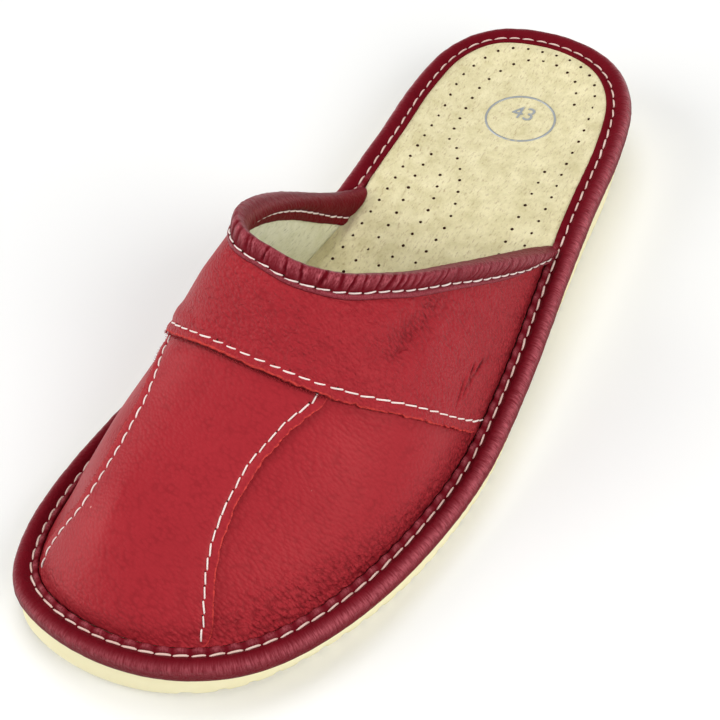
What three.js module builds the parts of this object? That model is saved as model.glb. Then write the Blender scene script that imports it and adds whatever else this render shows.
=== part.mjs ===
// A backless house slipper for the left foot: a ribbed foam wedge sole, a leather rand rolled round the
// insole's edge, a contoured insole, and a closed-toe leather upper with a centre panel, an instep band
// and a padded collar binding. Millimetres, Z up, toe toward -Y, big-toe side toward -X.
import * as THREE from 'three';
import { mergeVertices } from 'three/addons/utils/BufferGeometryUtils.js';

// Driving sizes of the last and the stack under it.
const halfLength = 137.8;
const lastShift = -2.7;
const heelSeat = 27;
const ballSeat = 15;
const toeRise = 6;
const wedgeSpan = { from: -45, to: 75 };
const toeRiseStart = -60;

// Seam line that joins rand and insole, by even station angle from toe tip (0) to heel (180):
// how far it reaches to the big-toe side and to the outer side of the last's centre line.
const outline = [
  { angle: 0, medial: -11.5, lateral: -11.5 },
  { angle: 15, medial: -34.5, lateral: 13.5 },
  { angle: 30, medial: -45.2, lateral: 33.6 },
  { angle: 45, medial: -50.4, lateral: 46.3 },
  { angle: 60, medial: -50.8, lateral: 54.0 },
  { angle: 75, medial: -46.4, lateral: 56.6 },
  { angle: 90, medial: -38.6, lateral: 53.0 },
  { angle: 105, medial: -33.2, lateral: 46.9 },
  { angle: 120, medial: -33.4, lateral: 41.2 },
  { angle: 135, medial: -35.8, lateral: 36.4 },
  { angle: 150, medial: -34.2, lateral: 29.2 },
  { angle: 165, medial: -24.0, lateral: 16.2 },
  { angle: 180, medial: -3.6, lateral: -3.6 },
];
const outlineSteps = 88;

// Foam wedge sole: side walls that taper inward to the tread, cross ribs underneath.
const soleTopDrop = 5.8;
const soleTopReach = 4.5;
const soleTaper = 0.19;
const archRise = 2.4;
const archSpan = { from: -22, to: 52 };
const waistTuck = 1.6;
const toeSpring = 3.2;
const toeSpringStart = -84;
const toeFlare = { x: -4, y: -3.8, from: -62, span: 60 };
const ribPitch = 6;
const ribLand = 3.4;
const ribGrooveDepth = 1.3;
const ribGrooveSlope = 0.6;
const tipAngles = [0, 2.5, 5];

// Rand roll, as reach beyond the seam line and height over it.
const randSection = [
  { reach: -2.3, rise: 0.1 },
  { reach: 0.2, rise: -0.3 },
  { reach: 2.3, rise: 0.9 },
  { reach: 4.6, rise: 0.5 },
  { reach: 6.0, rise: -1.1 },
  { reach: 6.3, rise: -2.7 },
  { reach: 5.9, rise: -4.2 },
  { reach: 4.9, rise: -5.2 },
  { reach: 3.6, rise: -5.5 },
  { reach: -2.3, rise: -5.5 },
];

// Insole: flat underneath, its top hollowed for the heel and lifted under the arch.
const insoleReach = -2.6;
const insoleBottomDrop = 5.5;
const insoleRimDrop = 0.3;
const insoleRings = [
  { inset: 0, sink: 0, lift: 0 },
  { inset: 2.5, sink: 0, lift: 0 },
  { inset: 6.5, sink: 0.4, lift: 1 },
  { inset: 11, sink: 0.8, lift: 0.7 },
  { inset: 16, sink: 1, lift: 0.2 },
];
const heelCup = { depth: 3.2, at: 95, span: 52 };
const archLift = { height: 1.6, at: 18, span: 45, reach: 34 };

// Upper: ribs that leave the seam line at an even station and meet the ridge over the instep.
const upperWall = 2.0;
const featherReach = -2.7;
const toeRidge = -103;
const throat = -36.8;
const ridgeSpread = 1.43;
const ridgeOffset = -0.27;
const collarStation = { medial: 107, lateral: 110 };
const bandSweep = 2.3;
const toeFanEnd = 0.55;
const crown = [
  { y: -145, height: 17.5 },
  { y: -110, height: 25.5 },
  { y: -85, height: 33.5 },
  { y: -60, height: 47.5 },
  { y: -40, height: 69 },
  { y: -20, height: 75 },
  { y: 60, height: 76 },
];
const toeFullness = { toe: 1.38, instep: 1.9, from: -100, span: 60 };
const rowSpacing = [
  { from: 0, to: 0.17, count: 4 },
  { from: 0.17, to: 0.2, count: 7 },
  { from: 0.2, to: 0.25, count: 7 },
  { from: 0.25, to: 0.36, count: 4 },
  { from: 0.36, to: 0.736, count: 7 },
  { from: 0.736, to: 1, count: 7 },
];
const halfColumns = 13;

// Collar line: how much of the way back from throat to collar end it has gone at each rise.
const collarSweep = [
  { rise: 0, medial: 1, lateral: 1 },
  { rise: 15, medial: 0.77, lateral: 0.75 },
  { rise: 30, medial: 0.56, lateral: 0.485 },
  { rise: 45, medial: 0.36, lateral: 0.225 },
  { rise: 60, medial: 0.18, lateral: 0.052 },
  { rise: 75, medial: 0.06, lateral: -0.008 },
  { rise: 90, medial: 0, lateral: 0 },
];

// Overlays on the upper, with the seam that bounds the centre panel: how far up each rib, in degrees
// from the seam line, the panel's edge lies.
const overlayGap = 0.3;
const panelThickness = 1.2;
const bandThickness = 1.6;
const bandFront = rowSpacing.at(-1).from;
const bandBack = 0.998;
const panelBandGap = 0.004;
const seatClearance = 0.9;
const columnSnap = 0.4;
const panelEdge = [
  { row: 0, medial: 0, lateral: 0 },
  { row: 0.17, medial: 0, lateral: 0 },
  { row: 0.185, medial: 34, lateral: 0 },
  { row: 0.2, medial: 52, lateral: 0 },
  { row: 0.225, medial: 56, lateral: 29 },
  { row: 0.25, medial: 58.5, lateral: 42 },
  { row: 0.3, medial: 62, lateral: 52 },
  { row: 0.38, medial: 65, lateral: 58.2 },
  { row: 0.5, medial: 65.7, lateral: 61.5 },
  { row: 0.61, medial: 62, lateral: 60.6 },
  { row: 0.736, medial: 48, lateral: 54.4 },
];

// Collar binding, a padded strip folded over the collar: distance beyond the collar's edge along the
// upper, and lift from the upper's outer face.
const bindingSection = [
  { beyond: -5.6, lift: 3.2 },
  { beyond: -4.4, lift: 3.9 },
  { beyond: -2.2, lift: 4.4 },
  { beyond: 0.6, lift: 3.6 },
  { beyond: 2.4, lift: 1.4 },
  { beyond: 2.9, lift: -1.0 },
  { beyond: 2.2, lift: -3.4 },
  { beyond: 0.2, lift: -4.8 },
  { beyond: -2.4, lift: -5.0 },
  { beyond: -6.2, lift: -3.9 },
  { beyond: -6.2, lift: -2.4 },
  { beyond: -3.0, lift: -2.4 },
  { beyond: 0.4, lift: -2.4 },
  { beyond: 0.4, lift: 2.3 },
  { beyond: -3.0, lift: 2.3 },
  { beyond: -5.6, lift: 2.3 },
];

// Ridge rise in degrees, and the small steps used for normals, collar spread and merging.
const ridgeRise = 90;
const turnStep = 0.5;
const rowStep = 0.004;
const mergeDistance = 1e-3;
const radians = Math.PI / 180;

function clamp01(value) {
  return Math.min(1, Math.max(0, value));
}

function smoothStep(value) {
  const t = clamp01(value);
  return t * t * (3 - 2 * t);
}

// Cubic through the rows of a table that never overshoots between two rows.
function tableCurve(rows, key, column) {
  const count = rows.length;
  const slope = [];
  for (let i = 0; i + 1 < count; i += 1) {
    slope.push((rows[i + 1][column] - rows[i][column]) / (rows[i + 1][key] - rows[i][key]));
  }
  const tangent = rows.map((row, i) => {
    const before = slope[Math.max(0, i - 1)];
    const after = slope[Math.min(count - 2, i)];
    return before * after <= 0 ? 0 : (2 * before * after) / (before + after);
  });
  return (value) => {
    let i = 0;
    while (i < count - 2 && value > rows[i + 1][key]) {
      i += 1;
    }
    const width = rows[i + 1][key] - rows[i][key];
    const t = clamp01((value - rows[i][key]) / width);
    const ease = t * t * (3 - 2 * t);
    const lift = t * (1 - t);
    const straight = rows[i][column] * (1 - ease) + rows[i + 1][column] * ease;
    return straight + width * lift * (tangent[i] * (1 - t) - tangent[i + 1] * t);
  };
}

// Closed Catmull-Rom curve through the outline table; turns run 0 to 360, toe to heel by the outer side.
const outlineReach = [
  ...outline.map((row) => row.lateral),
  ...outline.slice(1, -1).reverse().map((row) => row.medial),
];
const outlinePitch = outline[1].angle;

function seamPoint(turn) {
  const count = outlineReach.length;
  const place = (((turn % 360) + 360) % 360) / outlinePitch;
  const i = Math.floor(place);
  const t = place - i;
  const [a, b, c, d] = [-1, 0, 1, 2].map((step) => outlineReach[(i + step + count) % count]);
  const bend = 2 * a - 5 * b + 4 * c - d;
  const twist = 3 * (b - c) + d - a;
  const x = b + 0.5 * t * (c - a + t * (bend + t * twist));
  return { x: x + lastShift, y: -halfLength * Math.cos(turn * radians) };
}

// Turn on the outer side at which the seam line passes a station along the shoe.
function turnAt(y) {
  return Math.acos(-y / halfLength) / radians;
}

function outlinePoint(turn, reach) {
  const here = seamPoint(turn);
  const ahead = seamPoint(turn + turnStep);
  const behind = seamPoint(turn - turnStep);
  const dx = ahead.x - behind.x;
  const dy = ahead.y - behind.y;
  const length = Math.hypot(dx, dy);
  return { x: here.x + (reach * dy) / length, y: here.y - (reach * dx) / length };
}

// Height of the seam line over the floor, and of the tread.
function seatHeight(y) {
  const wedge = smoothStep((y - wedgeSpan.from) / (wedgeSpan.to - wedgeSpan.from));
  const toe = Math.max(0, (toeRiseStart - y) / (halfLength + toeRiseStart));
  return ballSeat + (heelSeat - ballSeat) * wedge + toeRise * toe * toe;
}

function archAt(y) {
  const t = clamp01((y - archSpan.from) / (archSpan.to - archSpan.from));
  return Math.sin(Math.PI * t) ** 2;
}

// The tread runs wider than the seam line round the toe, most of all on the big-toe side.
function flaredFoot(turn, reach) {
  const p = outlinePoint(turn, reach);
  const flare = smoothStep((toeFlare.from - p.y) / toeFlare.span);
  return { x: p.x + toeFlare.x * flare, y: p.y + toeFlare.y * flare };
}

function treadHeight(y) {
  const toe = Math.max(0, (toeSpringStart - y) / (halfLength + toeSpringStart));
  return archRise * archAt(y) + toeSpring * toe * toe;
}

// Mesh building: positions and triangles are gathered, then shared vertices are merged.
function closedGeometry(points, faces) {
  const geometry = new THREE.BufferGeometry();
  const flat = points.flatMap((p) => [p.x, p.y, p.z]);
  geometry.setAttribute('position', new THREE.Float32BufferAttribute(flat, 3));
  geometry.setIndex(faces.flat());
  const merged = mergeVertices(geometry, mergeDistance);
  const index = merged.index.array;
  const kept = [];
  for (let i = 0; i < index.length; i += 3) {
    const [a, b, c] = [index[i], index[i + 1], index[i + 2]];
    if (a !== b && b !== c && c !== a) {
      kept.push(a, b, c);
    }
  }
  merged.setIndex(kept);
  return merged;
}

// Rings round the outline, each a list of points, closed by a strip over the first and the last.
function stackedRings(rings) {
  const count = outlineSteps;
  const points = rings.flat();
  const faces = [];
  for (let r = 0; r + 1 < rings.length; r += 1) {
    for (let i = 0; i < count; i += 1) {
      const j = (i + 1) % count;
      const [a, b, c, d] = [r * count + i, r * count + j, (r + 1) * count + j, (r + 1) * count + i];
      faces.push([a, b, c], [a, c, d]);
    }
  }
  const cap = (start, flip) => {
    for (let i = 0; i < count / 2; i += 1) {
      const [a, b] = [start + i, start + i + 1];
      const [c, d] = [start + ((count - i - 1) % count), start + ((count - i) % count)];
      faces.push(flip ? [a, c, b] : [a, b, c], flip ? [a, d, c] : [a, c, d]);
    }
  };
  cap(0, true);
  cap((rings.length - 1) * count, false);
  return closedGeometry(points, faces);
}

function ring(reachAt, heightAt) {
  return Array.from({ length: outlineSteps }, (_, i) => {
    const turn = (360 * i) / outlineSteps;
    const station = outlinePoint(turn, 0);
    const p = outlinePoint(turn, reachAt(station.y));
    return { x: p.x, y: p.y, z: heightAt(p.y, p.x) };
  });
}

// One rib of the upper: row runs 0 at the toe tip to 1 at the collar, rise 0 at the seam to 90 at the
// ridge, lift is the distance outward from the upper's outer face.
const crownHeight = tableCurve(crown, 'y', 'height');
const sweepToCollar = {
  medial: tableCurve(collarSweep, 'rise', 'medial'),
  lateral: tableCurve(collarSweep, 'rise', 'lateral'),
};

function ridgePoint(row) {
  const y = toeRidge + (throat - toeRidge) * row ** ridgeSpread;
  const turn = turnAt(y);
  const outer = seamPoint(turn).x;
  const inner = seamPoint(360 - turn).x;
  return { x: (outer + inner) / 2 + (ridgeOffset * (outer - inner)) / 2, y };
}

function footPoint(row, side, lift) {
  const station = row * collarStation[side];
  return outlinePoint(side === 'lateral' ? station : 360 - station, featherReach + lift);
}

function fullnessAt(y) {
  const { toe, instep, from, span } = toeFullness;
  return toe + (instep - toe) * clamp01((y - from) / span);
}

function upperPoint(row, side, rise, lift) {
  const angle = rise * radians;
  const foot = footPoint(row, side, lift);
  const ridge = ridgePoint(row);
  const back = smoothStep(row / toeFanEnd);
  const forward = clamp01((1 - row) / (1 - bandFront));
  const behind = sweepToCollar[side](rise) * (1 - forward) + (1 - rise / ridgeRise) ** bandSweep * forward;
  const sweep = Math.cos(angle) * (1 - back) + behind * back;
  const x = ridge.x + (foot.x - ridge.x) * Math.cos(angle);
  const y = ridge.y + (foot.y - ridge.y) * sweep;
  const arc = Math.sin(angle) ** (2 / fullnessAt(y));
  return new THREE.Vector3(x, y, seatHeight(y) + (crownHeight(y) + lift) * arc);
}

// Rise at which an overlay's lower edge stands clear of the rand.
function overlayStart(row, side) {
  const { y } = footPoint(row, side, 0);
  return Math.asin((seatClearance / crownHeight(y)) ** (fullnessAt(y) / 2)) / radians;
}

// Shell between two lifts over a patch of the upper; edgeAt gives where a row starts on each side.
// Every patch has the same columns, so that skins laid over the upper keep an even gap to it.
function upperShell(rows, edgeAt, outerLift, innerLift) {
  const columns = 2 * halfColumns + 1;
  const points = [];
  for (const lift of [outerLift, innerLift]) {
    for (const row of rows) {
      for (let j = 0; j < columns; j += 1) {
        const side = j < halfColumns ? 'medial' : 'lateral';
        const rise = ridgeRise * (1 - Math.abs(j - halfColumns) / halfColumns);
        const start = edgeAt(row, side);
        points.push(upperPoint(row, side, rise < start + columnSnap ? start : rise, lift));
      }
    }
  }
  const layer = rows.length * columns;
  const last = columns - 1;
  const end = rows.length - 1;
  const at = (i, j, inside) => inside * layer + i * columns + j;
  const faces = [];
  const quad = (a, b, c, d) => faces.push([a, b, c], [a, c, d]);
  for (let i = 0; i < end; i += 1) {
    for (let j = 0; j < last; j += 1) {
      quad(at(i, j, 0), at(i, j + 1, 0), at(i + 1, j + 1, 0), at(i + 1, j, 0));
      quad(at(i, j, 1), at(i + 1, j, 1), at(i + 1, j + 1, 1), at(i, j + 1, 1));
    }
    quad(at(i, 0, 0), at(i + 1, 0, 0), at(i + 1, 0, 1), at(i, 0, 1));
    quad(at(i, last, 0), at(i, last, 1), at(i + 1, last, 1), at(i + 1, last, 0));
  }
  for (let j = 0; j < last; j += 1) {
    quad(at(end, j, 0), at(end, j + 1, 0), at(end, j + 1, 1), at(end, j, 1));
    if (rows[0] > 0) {
      quad(at(0, j, 0), at(0, j, 1), at(0, j + 1, 1), at(0, j + 1, 0));
    }
  }
  return closedGeometry(points, faces);
}

function rowsOf({ from, to, count }) {
  return Array.from({ length: count }, (_, i) => from + ((to - from) * i) / count);
}

const toeRows = rowSpacing.slice(0, -1).flatMap(rowsOf);
const bandRows = rowsOf(rowSpacing.at(-1));

// Stations of the tread from toe to heel: a flat land, then a groove with sloping walls, at each pitch.
function treadRows() {
  const reach = halfLength * Math.cos(tipAngles.at(-1) * radians);
  const tips = tipAngles.map((angle) => ({ angle, depth: 0 }));
  const rows = [];
  const add = (y, depth) => rows.push({ angle: turnAt(y), depth });
  const pitches = Math.floor((2 * reach) / ribPitch);
  const start = -(pitches * ribPitch + ribLand - ribPitch) / 2;
  for (let i = 0; i < pitches; i += 1) {
    const y = start + i * ribPitch;
    add(y, 0);
    add(y + ribLand, 0);
    if (i + 1 < pitches) {
      add(y + ribLand + ribGrooveSlope, ribGrooveDepth);
      add(y + ribPitch - ribGrooveSlope, ribGrooveDepth);
    }
  }
  const heel = tips.map(({ angle }) => ({ angle: 180 - angle, depth: 0 })).reverse();
  return [...tips, ...rows, ...heel];
}

function outsole() {
  const points = [];
  const rows = treadRows();
  for (const { angle, depth } of rows) {
    const { y } = seamPoint(angle);
    const top = seatHeight(y) - soleTopDrop;
    const foot = treadHeight(y) + depth;
    const footReach = soleTopReach - soleTaper * (top - foot) - waistTuck * archAt(y);
    for (const turn of [angle, 360 - angle]) {
      const low = flaredFoot(turn, footReach);
      const high = outlinePoint(turn, soleTopReach);
      points.push({ ...low, z: treadHeight(low.y) + depth });
      points.push({ ...high, z: seatHeight(high.y) - soleTopDrop });
    }
  }
  const faces = [];
  const loop = [0, 1, 3, 2];
  const corners = loop.length;
  for (let i = 0; i + 1 < rows.length; i += 1) {
    loop.forEach((corner, k) => {
      const next = loop[(k + 1) % corners];
      const [a, b] = [corners * i + corner, corners * i + next];
      faces.push([a, a + corners, b + corners], [a, b + corners, b]);
    });
  }
  return closedGeometry(points, faces);
}

function rand() {
  const count = randSection.length;
  const points = [];
  for (let i = 0; i < outlineSteps; i += 1) {
    const turn = (360 * i) / outlineSteps;
    for (const { reach, rise } of randSection) {
      const p = outlinePoint(turn, reach);
      points.push({ x: p.x, y: p.y, z: seatHeight(p.y) + rise });
    }
  }
  const faces = [];
  for (let i = 0; i < outlineSteps; i += 1) {
    const next = (i + 1) % outlineSteps;
    for (let k = 0; k < count; k += 1) {
      const m = (k + 1) % count;
      const [a, b, c, d] = [i * count + k, next * count + k, next * count + m, i * count + m];
      faces.push([a, c, b], [a, d, c]);
    }
  }
  return closedGeometry(points, faces);
}

function insoleHeight(y, x, { sink, lift }) {
  const cup = heelCup.depth * Math.exp(-(((y - heelCup.at) / heelCup.span) ** 2));
  const arch = archLift.height * Math.exp(-(((y - archLift.at) / archLift.span) ** 2));
  const inward = clamp01(-x / archLift.reach);
  return seatHeight(y) - insoleRimDrop - cup * sink + arch * inward * lift;
}

function insole() {
  const rings = [ring(() => insoleReach, (y) => seatHeight(y) - insoleBottomDrop)];
  for (const contour of insoleRings) {
    rings.push(ring(() => insoleReach - contour.inset, (y, x) => insoleHeight(y, x, contour)));
  }
  return stackedRings(rings);
}

function upper() {
  return upperShell([...toeRows, ...bandRows, 1], () => 0, 0, -upperWall);
}

// Panel over the toe and instep, its two side edges sweeping down to the seam line beside the toe.
function centrePanel() {
  const edge = {
    medial: tableCurve(panelEdge, 'row', 'medial'),
    lateral: tableCurve(panelEdge, 'row', 'lateral'),
  };
  const rows = [...toeRows, bandFront - panelBandGap];
  const edgeAt = (row, side) => Math.max(overlayStart(row, side), edge[side](row));
  return upperShell(rows, edgeAt, overlayGap + panelThickness, overlayGap);
}

function instepBand() {
  const rows = [...bandRows, bandBack];
  return upperShell(rows, overlayStart, overlayGap + bandThickness, overlayGap);
}

// The binding keeps its section square to the collar, and ends just over the seam line.
function collarBinding() {
  const stations = 2 * halfColumns;
  const count = bindingSection.length;
  const points = [];
  for (let j = 0; j <= stations; j += 1) {
    const side = j < halfColumns ? 'medial' : 'lateral';
    const start = overlayStart(1, side);
    const rise = Math.max(start, ridgeRise * (1 - Math.abs(j - halfColumns) / halfColumns));
    const edge = upperPoint(1, side, rise, 0);
    const along = upperPoint(1, side, rise - start, 0).sub(edge).normalize();
    const perRow = edge.clone().sub(upperPoint(1 - rowStep, side, rise, 0)).divideScalar(rowStep);
    const spread = perRow.addScaledVector(along, -perRow.dot(along)).length();
    for (const { beyond, lift } of bindingSection) {
      points.push(upperPoint(1 + beyond / spread, side, rise, lift));
    }
  }
  const faces = [];
  for (let j = 0; j < stations; j += 1) {
    for (let k = 0; k < count; k += 1) {
      const m = (k + 1) % count;
      const [a, b, c, d] = [j * count + k, (j + 1) * count + k, (j + 1) * count + m, j * count + m];
      faces.push([a, b, c], [a, c, d]);
    }
  }
  const flat = bindingSection.map((s) => new THREE.Vector2(s.beyond, s.lift));
  const end = stations * count;
  for (const [a, b, c] of THREE.ShapeUtils.triangulateShape(flat, [])) {
    const turned = THREE.ShapeUtils.area([flat[a], flat[b], flat[c]]) > 0;
    faces.push(turned ? [a, c, b] : [a, b, c]);
    faces.push(turned ? [end + a, end + b, end + c] : [end + a, end + c, end + b]);
  }
  return closedGeometry(points, faces);
}

const slipper = new THREE.Group();

function addPiece(name, geometry, color, roughness) {
  geometry.computeVertexNormals();
  const material = new THREE.MeshStandardMaterial({ color, roughness, metalness: 0 });
  const mesh = new THREE.Mesh(geometry, material);
  mesh.name = name;
  slipper.add(mesh);
}

addPiece('outsole', outsole(), '#e6dfc2', 0.85);
addPiece('rand', rand(), '#5d1420', 0.4);
addPiece('insole', insole(), '#c9b08e', 0.95);
addPiece('upper', upper(), '#c81e2c', 0.5);
addPiece('centre_panel', centrePanel(), '#c81e2c', 0.5);
addPiece('instep_band', instepBand(), '#c81e2c', 0.5);
addPiece('collar_binding', collarBinding(), '#5d1420', 0.4);

export default slipper;
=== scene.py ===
import math
from functools import partial

import bmesh
import bpy
import numpy as np
from mathutils import Matrix, Vector, noise


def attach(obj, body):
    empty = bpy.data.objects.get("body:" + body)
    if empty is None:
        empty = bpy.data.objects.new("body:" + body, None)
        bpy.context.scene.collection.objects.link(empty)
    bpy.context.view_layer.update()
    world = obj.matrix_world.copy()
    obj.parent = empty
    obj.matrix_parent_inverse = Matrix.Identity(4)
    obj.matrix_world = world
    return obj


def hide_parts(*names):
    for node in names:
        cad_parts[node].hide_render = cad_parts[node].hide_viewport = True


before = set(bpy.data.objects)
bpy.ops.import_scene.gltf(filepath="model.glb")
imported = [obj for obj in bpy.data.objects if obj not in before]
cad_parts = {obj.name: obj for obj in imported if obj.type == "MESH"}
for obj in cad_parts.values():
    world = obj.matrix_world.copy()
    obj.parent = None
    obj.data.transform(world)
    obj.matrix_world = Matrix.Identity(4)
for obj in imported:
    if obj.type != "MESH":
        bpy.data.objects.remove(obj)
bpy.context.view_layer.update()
scene = bpy.context.scene
mm = 0.001
print("frame loaded:", len(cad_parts), "solids")

# The last in millimetres, as the solids have it: toe toward -Y, big toe toward -X, Z up from the floor
last = {
    "halfLength": 137.8,
    "shift": -2.7,
    "heelSeat": 27.0,
    "ballSeat": 15.0,
    "wedge": (-45.0, 75.0),
    "toeRise": 6.0,
    "toeRiseStart": -60.0,
    "upperEnd": (114.0, 5.0),  # degrees round the seam line where the upper has ended, and over how many
    # half breadths of the seam line, one every 15 degrees from toe tip to heel
    "medial": (-11.5, -34.5, -45.2, -50.4, -50.8, -46.4, -38.6, -33.2, -33.4, -35.8, -34.2, -24.0, -3.6),
    "lateral": (-11.5, 13.5, 33.6, 46.3, 54.0, 56.6, 53.0, 46.9, 41.2, 36.4, 29.2, 16.2, -3.6),
}

upperForm = {
    "feather": -2.7,  # reach of the upper's outer face at the seam line
    "toeRidge": -103.0,
    "throat": -36.8,
    "ridgeSpread": 1.43,
    "ridgeOffset": -0.27,
    "medialStation": 107.0,  # degrees round the seam line where the collar ends
    "lateralStation": 110.0,
    "bandSweep": 2.3,
    "toeFanEnd": 0.55,
    "bandFront": 0.736,
    "crown": ((-145, 17.5), (-110, 25.5), (-85, 33.5), (-60, 47.5), (-40, 69), (-20, 75), (60, 76)),
    "fullness": (1.38, 1.9, -100.0, 60.0),  # toe, instep, start, span
    # degrees up a rib, then how far back the collar has swept there
    "medialCollar": ((0, 1), (15, 0.77), (30, 0.56), (45, 0.36), (60, 0.18), (75, 0.06), (90, 0)),
    "lateralCollar": ((0, 1), (15, 0.75), (30, 0.485), (45, 0.225), (60, 0.052), (75, -0.008), (90, 0)),
    # row, then degrees up the rib where the centre panel's edge lies
    "medialEdge": ((0, 0), (0.196, 0), (0.199, 34), (0.203, 50), (0.225, 56), (0.25, 58.5), (0.3, 62),
                   (0.38, 65), (0.5, 65.7), (0.61, 62), (0.736, 48)),
    "lateralEdge": ((0, 0), (0.2, 0), (0.225, 29), (0.25, 42), (0.3, 52), (0.38, 58.2), (0.5, 61.5),
                    (0.61, 60.6), (0.736, 54.4)),
}


def ease(value):
    t = np.clip(value, 0, 1)
    return t * t * (3 - 2 * t)


def mix(start, end, share):
    return start + (end - start) * share


def bell(away, width):  # 1 at the middle, fading to both sides
    return np.exp(-((away / width) ** 2))


def unit(vectors):
    return vectors / np.maximum(np.linalg.norm(vectors, axis=-1, keepdims=True), 1e-9)


def runAlong(points):  # how far along a line each of its points lies
    return np.append(0, np.cumsum(np.linalg.norm(np.diff(points, axis=0), axis=-1)))


def runningMean(points, reach):  # over that many rows to each side
    total = np.cumsum(np.concatenate([0 * points[:1], points]), 0)
    width = 2 * reach + 1
    return (total[width:] - total[:-width]) / width


def splinePoint(a, b, c, d, t):  # smooth curve from b to c, with a before them and d after
    return b + 0.5 * t * (c - a + t * (2 * a - 5 * b + 4 * c - d + t * (3 * (b - c) + d - a)))


def ringPoint(points, place):  # smooth closed ring through a few points, place counted in points
    i = np.floor(place).astype(int)
    t = (place - i).reshape(i.shape + (1,) * (points.ndim - 1))
    return splinePoint(*[points[(i + k) % len(points)] for k in (-1, 0, 1, 2)], t)


def closedProfile(points, count):
    points = np.array(points, float)
    return ringPoint(points, np.arange(count) * len(points) / count)


def tableCurve(rows):  # cubic through the rows that never overshoots between two of them
    keys, values = np.array(rows, float).T
    slopes = np.diff(values) / np.diff(keys)
    before = np.append(slopes[:1], slopes)
    after = np.append(slopes, slopes[-1:])
    rising = before * after > 0
    tangents = np.where(rising, 2 * before * after / np.where(rising, before + after, 1), 0)

    def curve(at):
        cell = np.clip(np.searchsorted(keys, at) - 1, 0, len(keys) - 2)
        width = keys[cell + 1] - keys[cell]
        t = np.clip((at - keys[cell]) / width, 0, 1)
        share = ease(t)
        bend = width * t * (1 - t) * (tangents[cell] * (1 - t) - tangents[cell + 1] * t)
        return values[cell] * (1 - share) + values[cell + 1] * share + bend

    return curve


breadths = np.array(last["lateral"] + last["medial"][-2:0:-1])
crownHeight = tableCurve(upperForm["crown"])
collarSweep = {side: tableCurve(upperForm[key]) for side, key in ((-1, "medialCollar"), (1, "lateralCollar"))}
panelEdge = {side: tableCurve(upperForm[key]) for side, key in ((-1, "medialEdge"), (1, "lateralEdge"))}


def seamPoint(turn):  # turn in degrees, toe tip 0, along the outer side to the heel at 180
    x = ringPoint(breadths, (np.asarray(turn, float) % 360) * len(breadths) / 360)
    return x + last["shift"], -last["halfLength"] * np.cos(np.radians(turn))


def outlinePoint(turn, reach):  # point that far outside the seam line
    x, y = seamPoint(turn)
    dx, dy = np.subtract(seamPoint(turn + 0.5), seamPoint(turn - 0.5))
    length = np.hypot(dx, dy)
    return x + reach * dy / length, y - reach * dx / length


def seatHeight(y):
    start, end = last["wedge"]
    wedge = (last["heelSeat"] - last["ballSeat"]) * ease((y - start) / (end - start))
    toe = np.maximum(0, (last["toeRiseStart"] - y) / (last["halfLength"] + last["toeRiseStart"]))
    return last["ballSeat"] + wedge + last["toeRise"] * toe**2


def overSeat(points):
    return points[..., 2] - seatHeight(points[..., 1])


def ridgePoint(row):
    y = mix(upperForm["toeRidge"], upperForm["throat"], row ** upperForm["ridgeSpread"])
    turn = np.degrees(np.arccos(-y / last["halfLength"]))
    outer = seamPoint(turn)[0]
    inner = seamPoint(360 - turn)[0]
    return (outer + inner) / 2 + upperForm["ridgeOffset"] * (outer - inner) / 2, y


def fullness(y):  # how square the upper's cross section is
    toe, instep, start, span = upperForm["fullness"]
    return mix(toe, instep, np.clip((y - start) / span, 0, 1))


def upperPoint(row, across, lift):
    # row 0 toe tip to 1 collar; across -1 inner seam line, 0 ridge, 1 outer; lift off the outer face
    row, across, lift = [np.asarray(v, float) for v in np.broadcast_arrays(row, across, lift)]
    lateral = across >= 0
    rise = 90 * (1 - np.abs(across))
    angle = np.radians(rise)
    station = row * np.where(lateral, upperForm["lateralStation"], upperForm["medialStation"])
    footX, footY = outlinePoint(np.where(lateral, station, 360 - station), upperForm["feather"] + lift)
    ridgeX, ridgeY = ridgePoint(row)
    back = ease(row / upperForm["toeFanEnd"])
    forward = np.clip((1 - row) / (1 - upperForm["bandFront"]), 0, 1)
    collar = np.where(lateral, collarSweep[1](rise), collarSweep[-1](rise))
    behind = collar * (1 - forward) + (1 - rise / 90) ** upperForm["bandSweep"] * forward
    y = mix(ridgeY, footY, np.cos(angle) * (1 - back) + behind * back)
    x = mix(ridgeX, footX, np.cos(angle))
    return np.stack([x, y, seatHeight(y) + (crownHeight(y) + lift) * np.sin(angle) ** (2 / fullness(y))], -1)


def panelEdgeAcross(row, side):
    return side * (1 - panelEdge[side](row) / 90)


def surfaceSteps(row, across, step=1e-3):  # how far a point on the upper goes per unit of row and of across
    before = np.maximum(row - step, 0)
    after = row + step
    left = np.maximum(across - step, -1)
    right = np.minimum(across + step, 1)
    alongRow = upperPoint(after, across, 1.0) - upperPoint(before, across, 1.0)
    alongRib = upperPoint(row, right, 1.0) - upperPoint(row, left, 1.0)
    return alongRow / (after - before)[..., None], alongRib / (right - left)[..., None]


def upperNormal(row, across):
    alongRow, alongRib = surfaceSteps(row, across)
    return unit(np.cross(alongRib, alongRow))


def evenLine(row, across, step):  # the same line on the upper, a point every step millimetres
    run = runAlong(upperPoint(row, across, 1.0))
    even = np.linspace(0, run[-1], int(run[-1] / step) + 1)
    return np.interp(even, run, row), np.interp(even, run, across)


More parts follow.
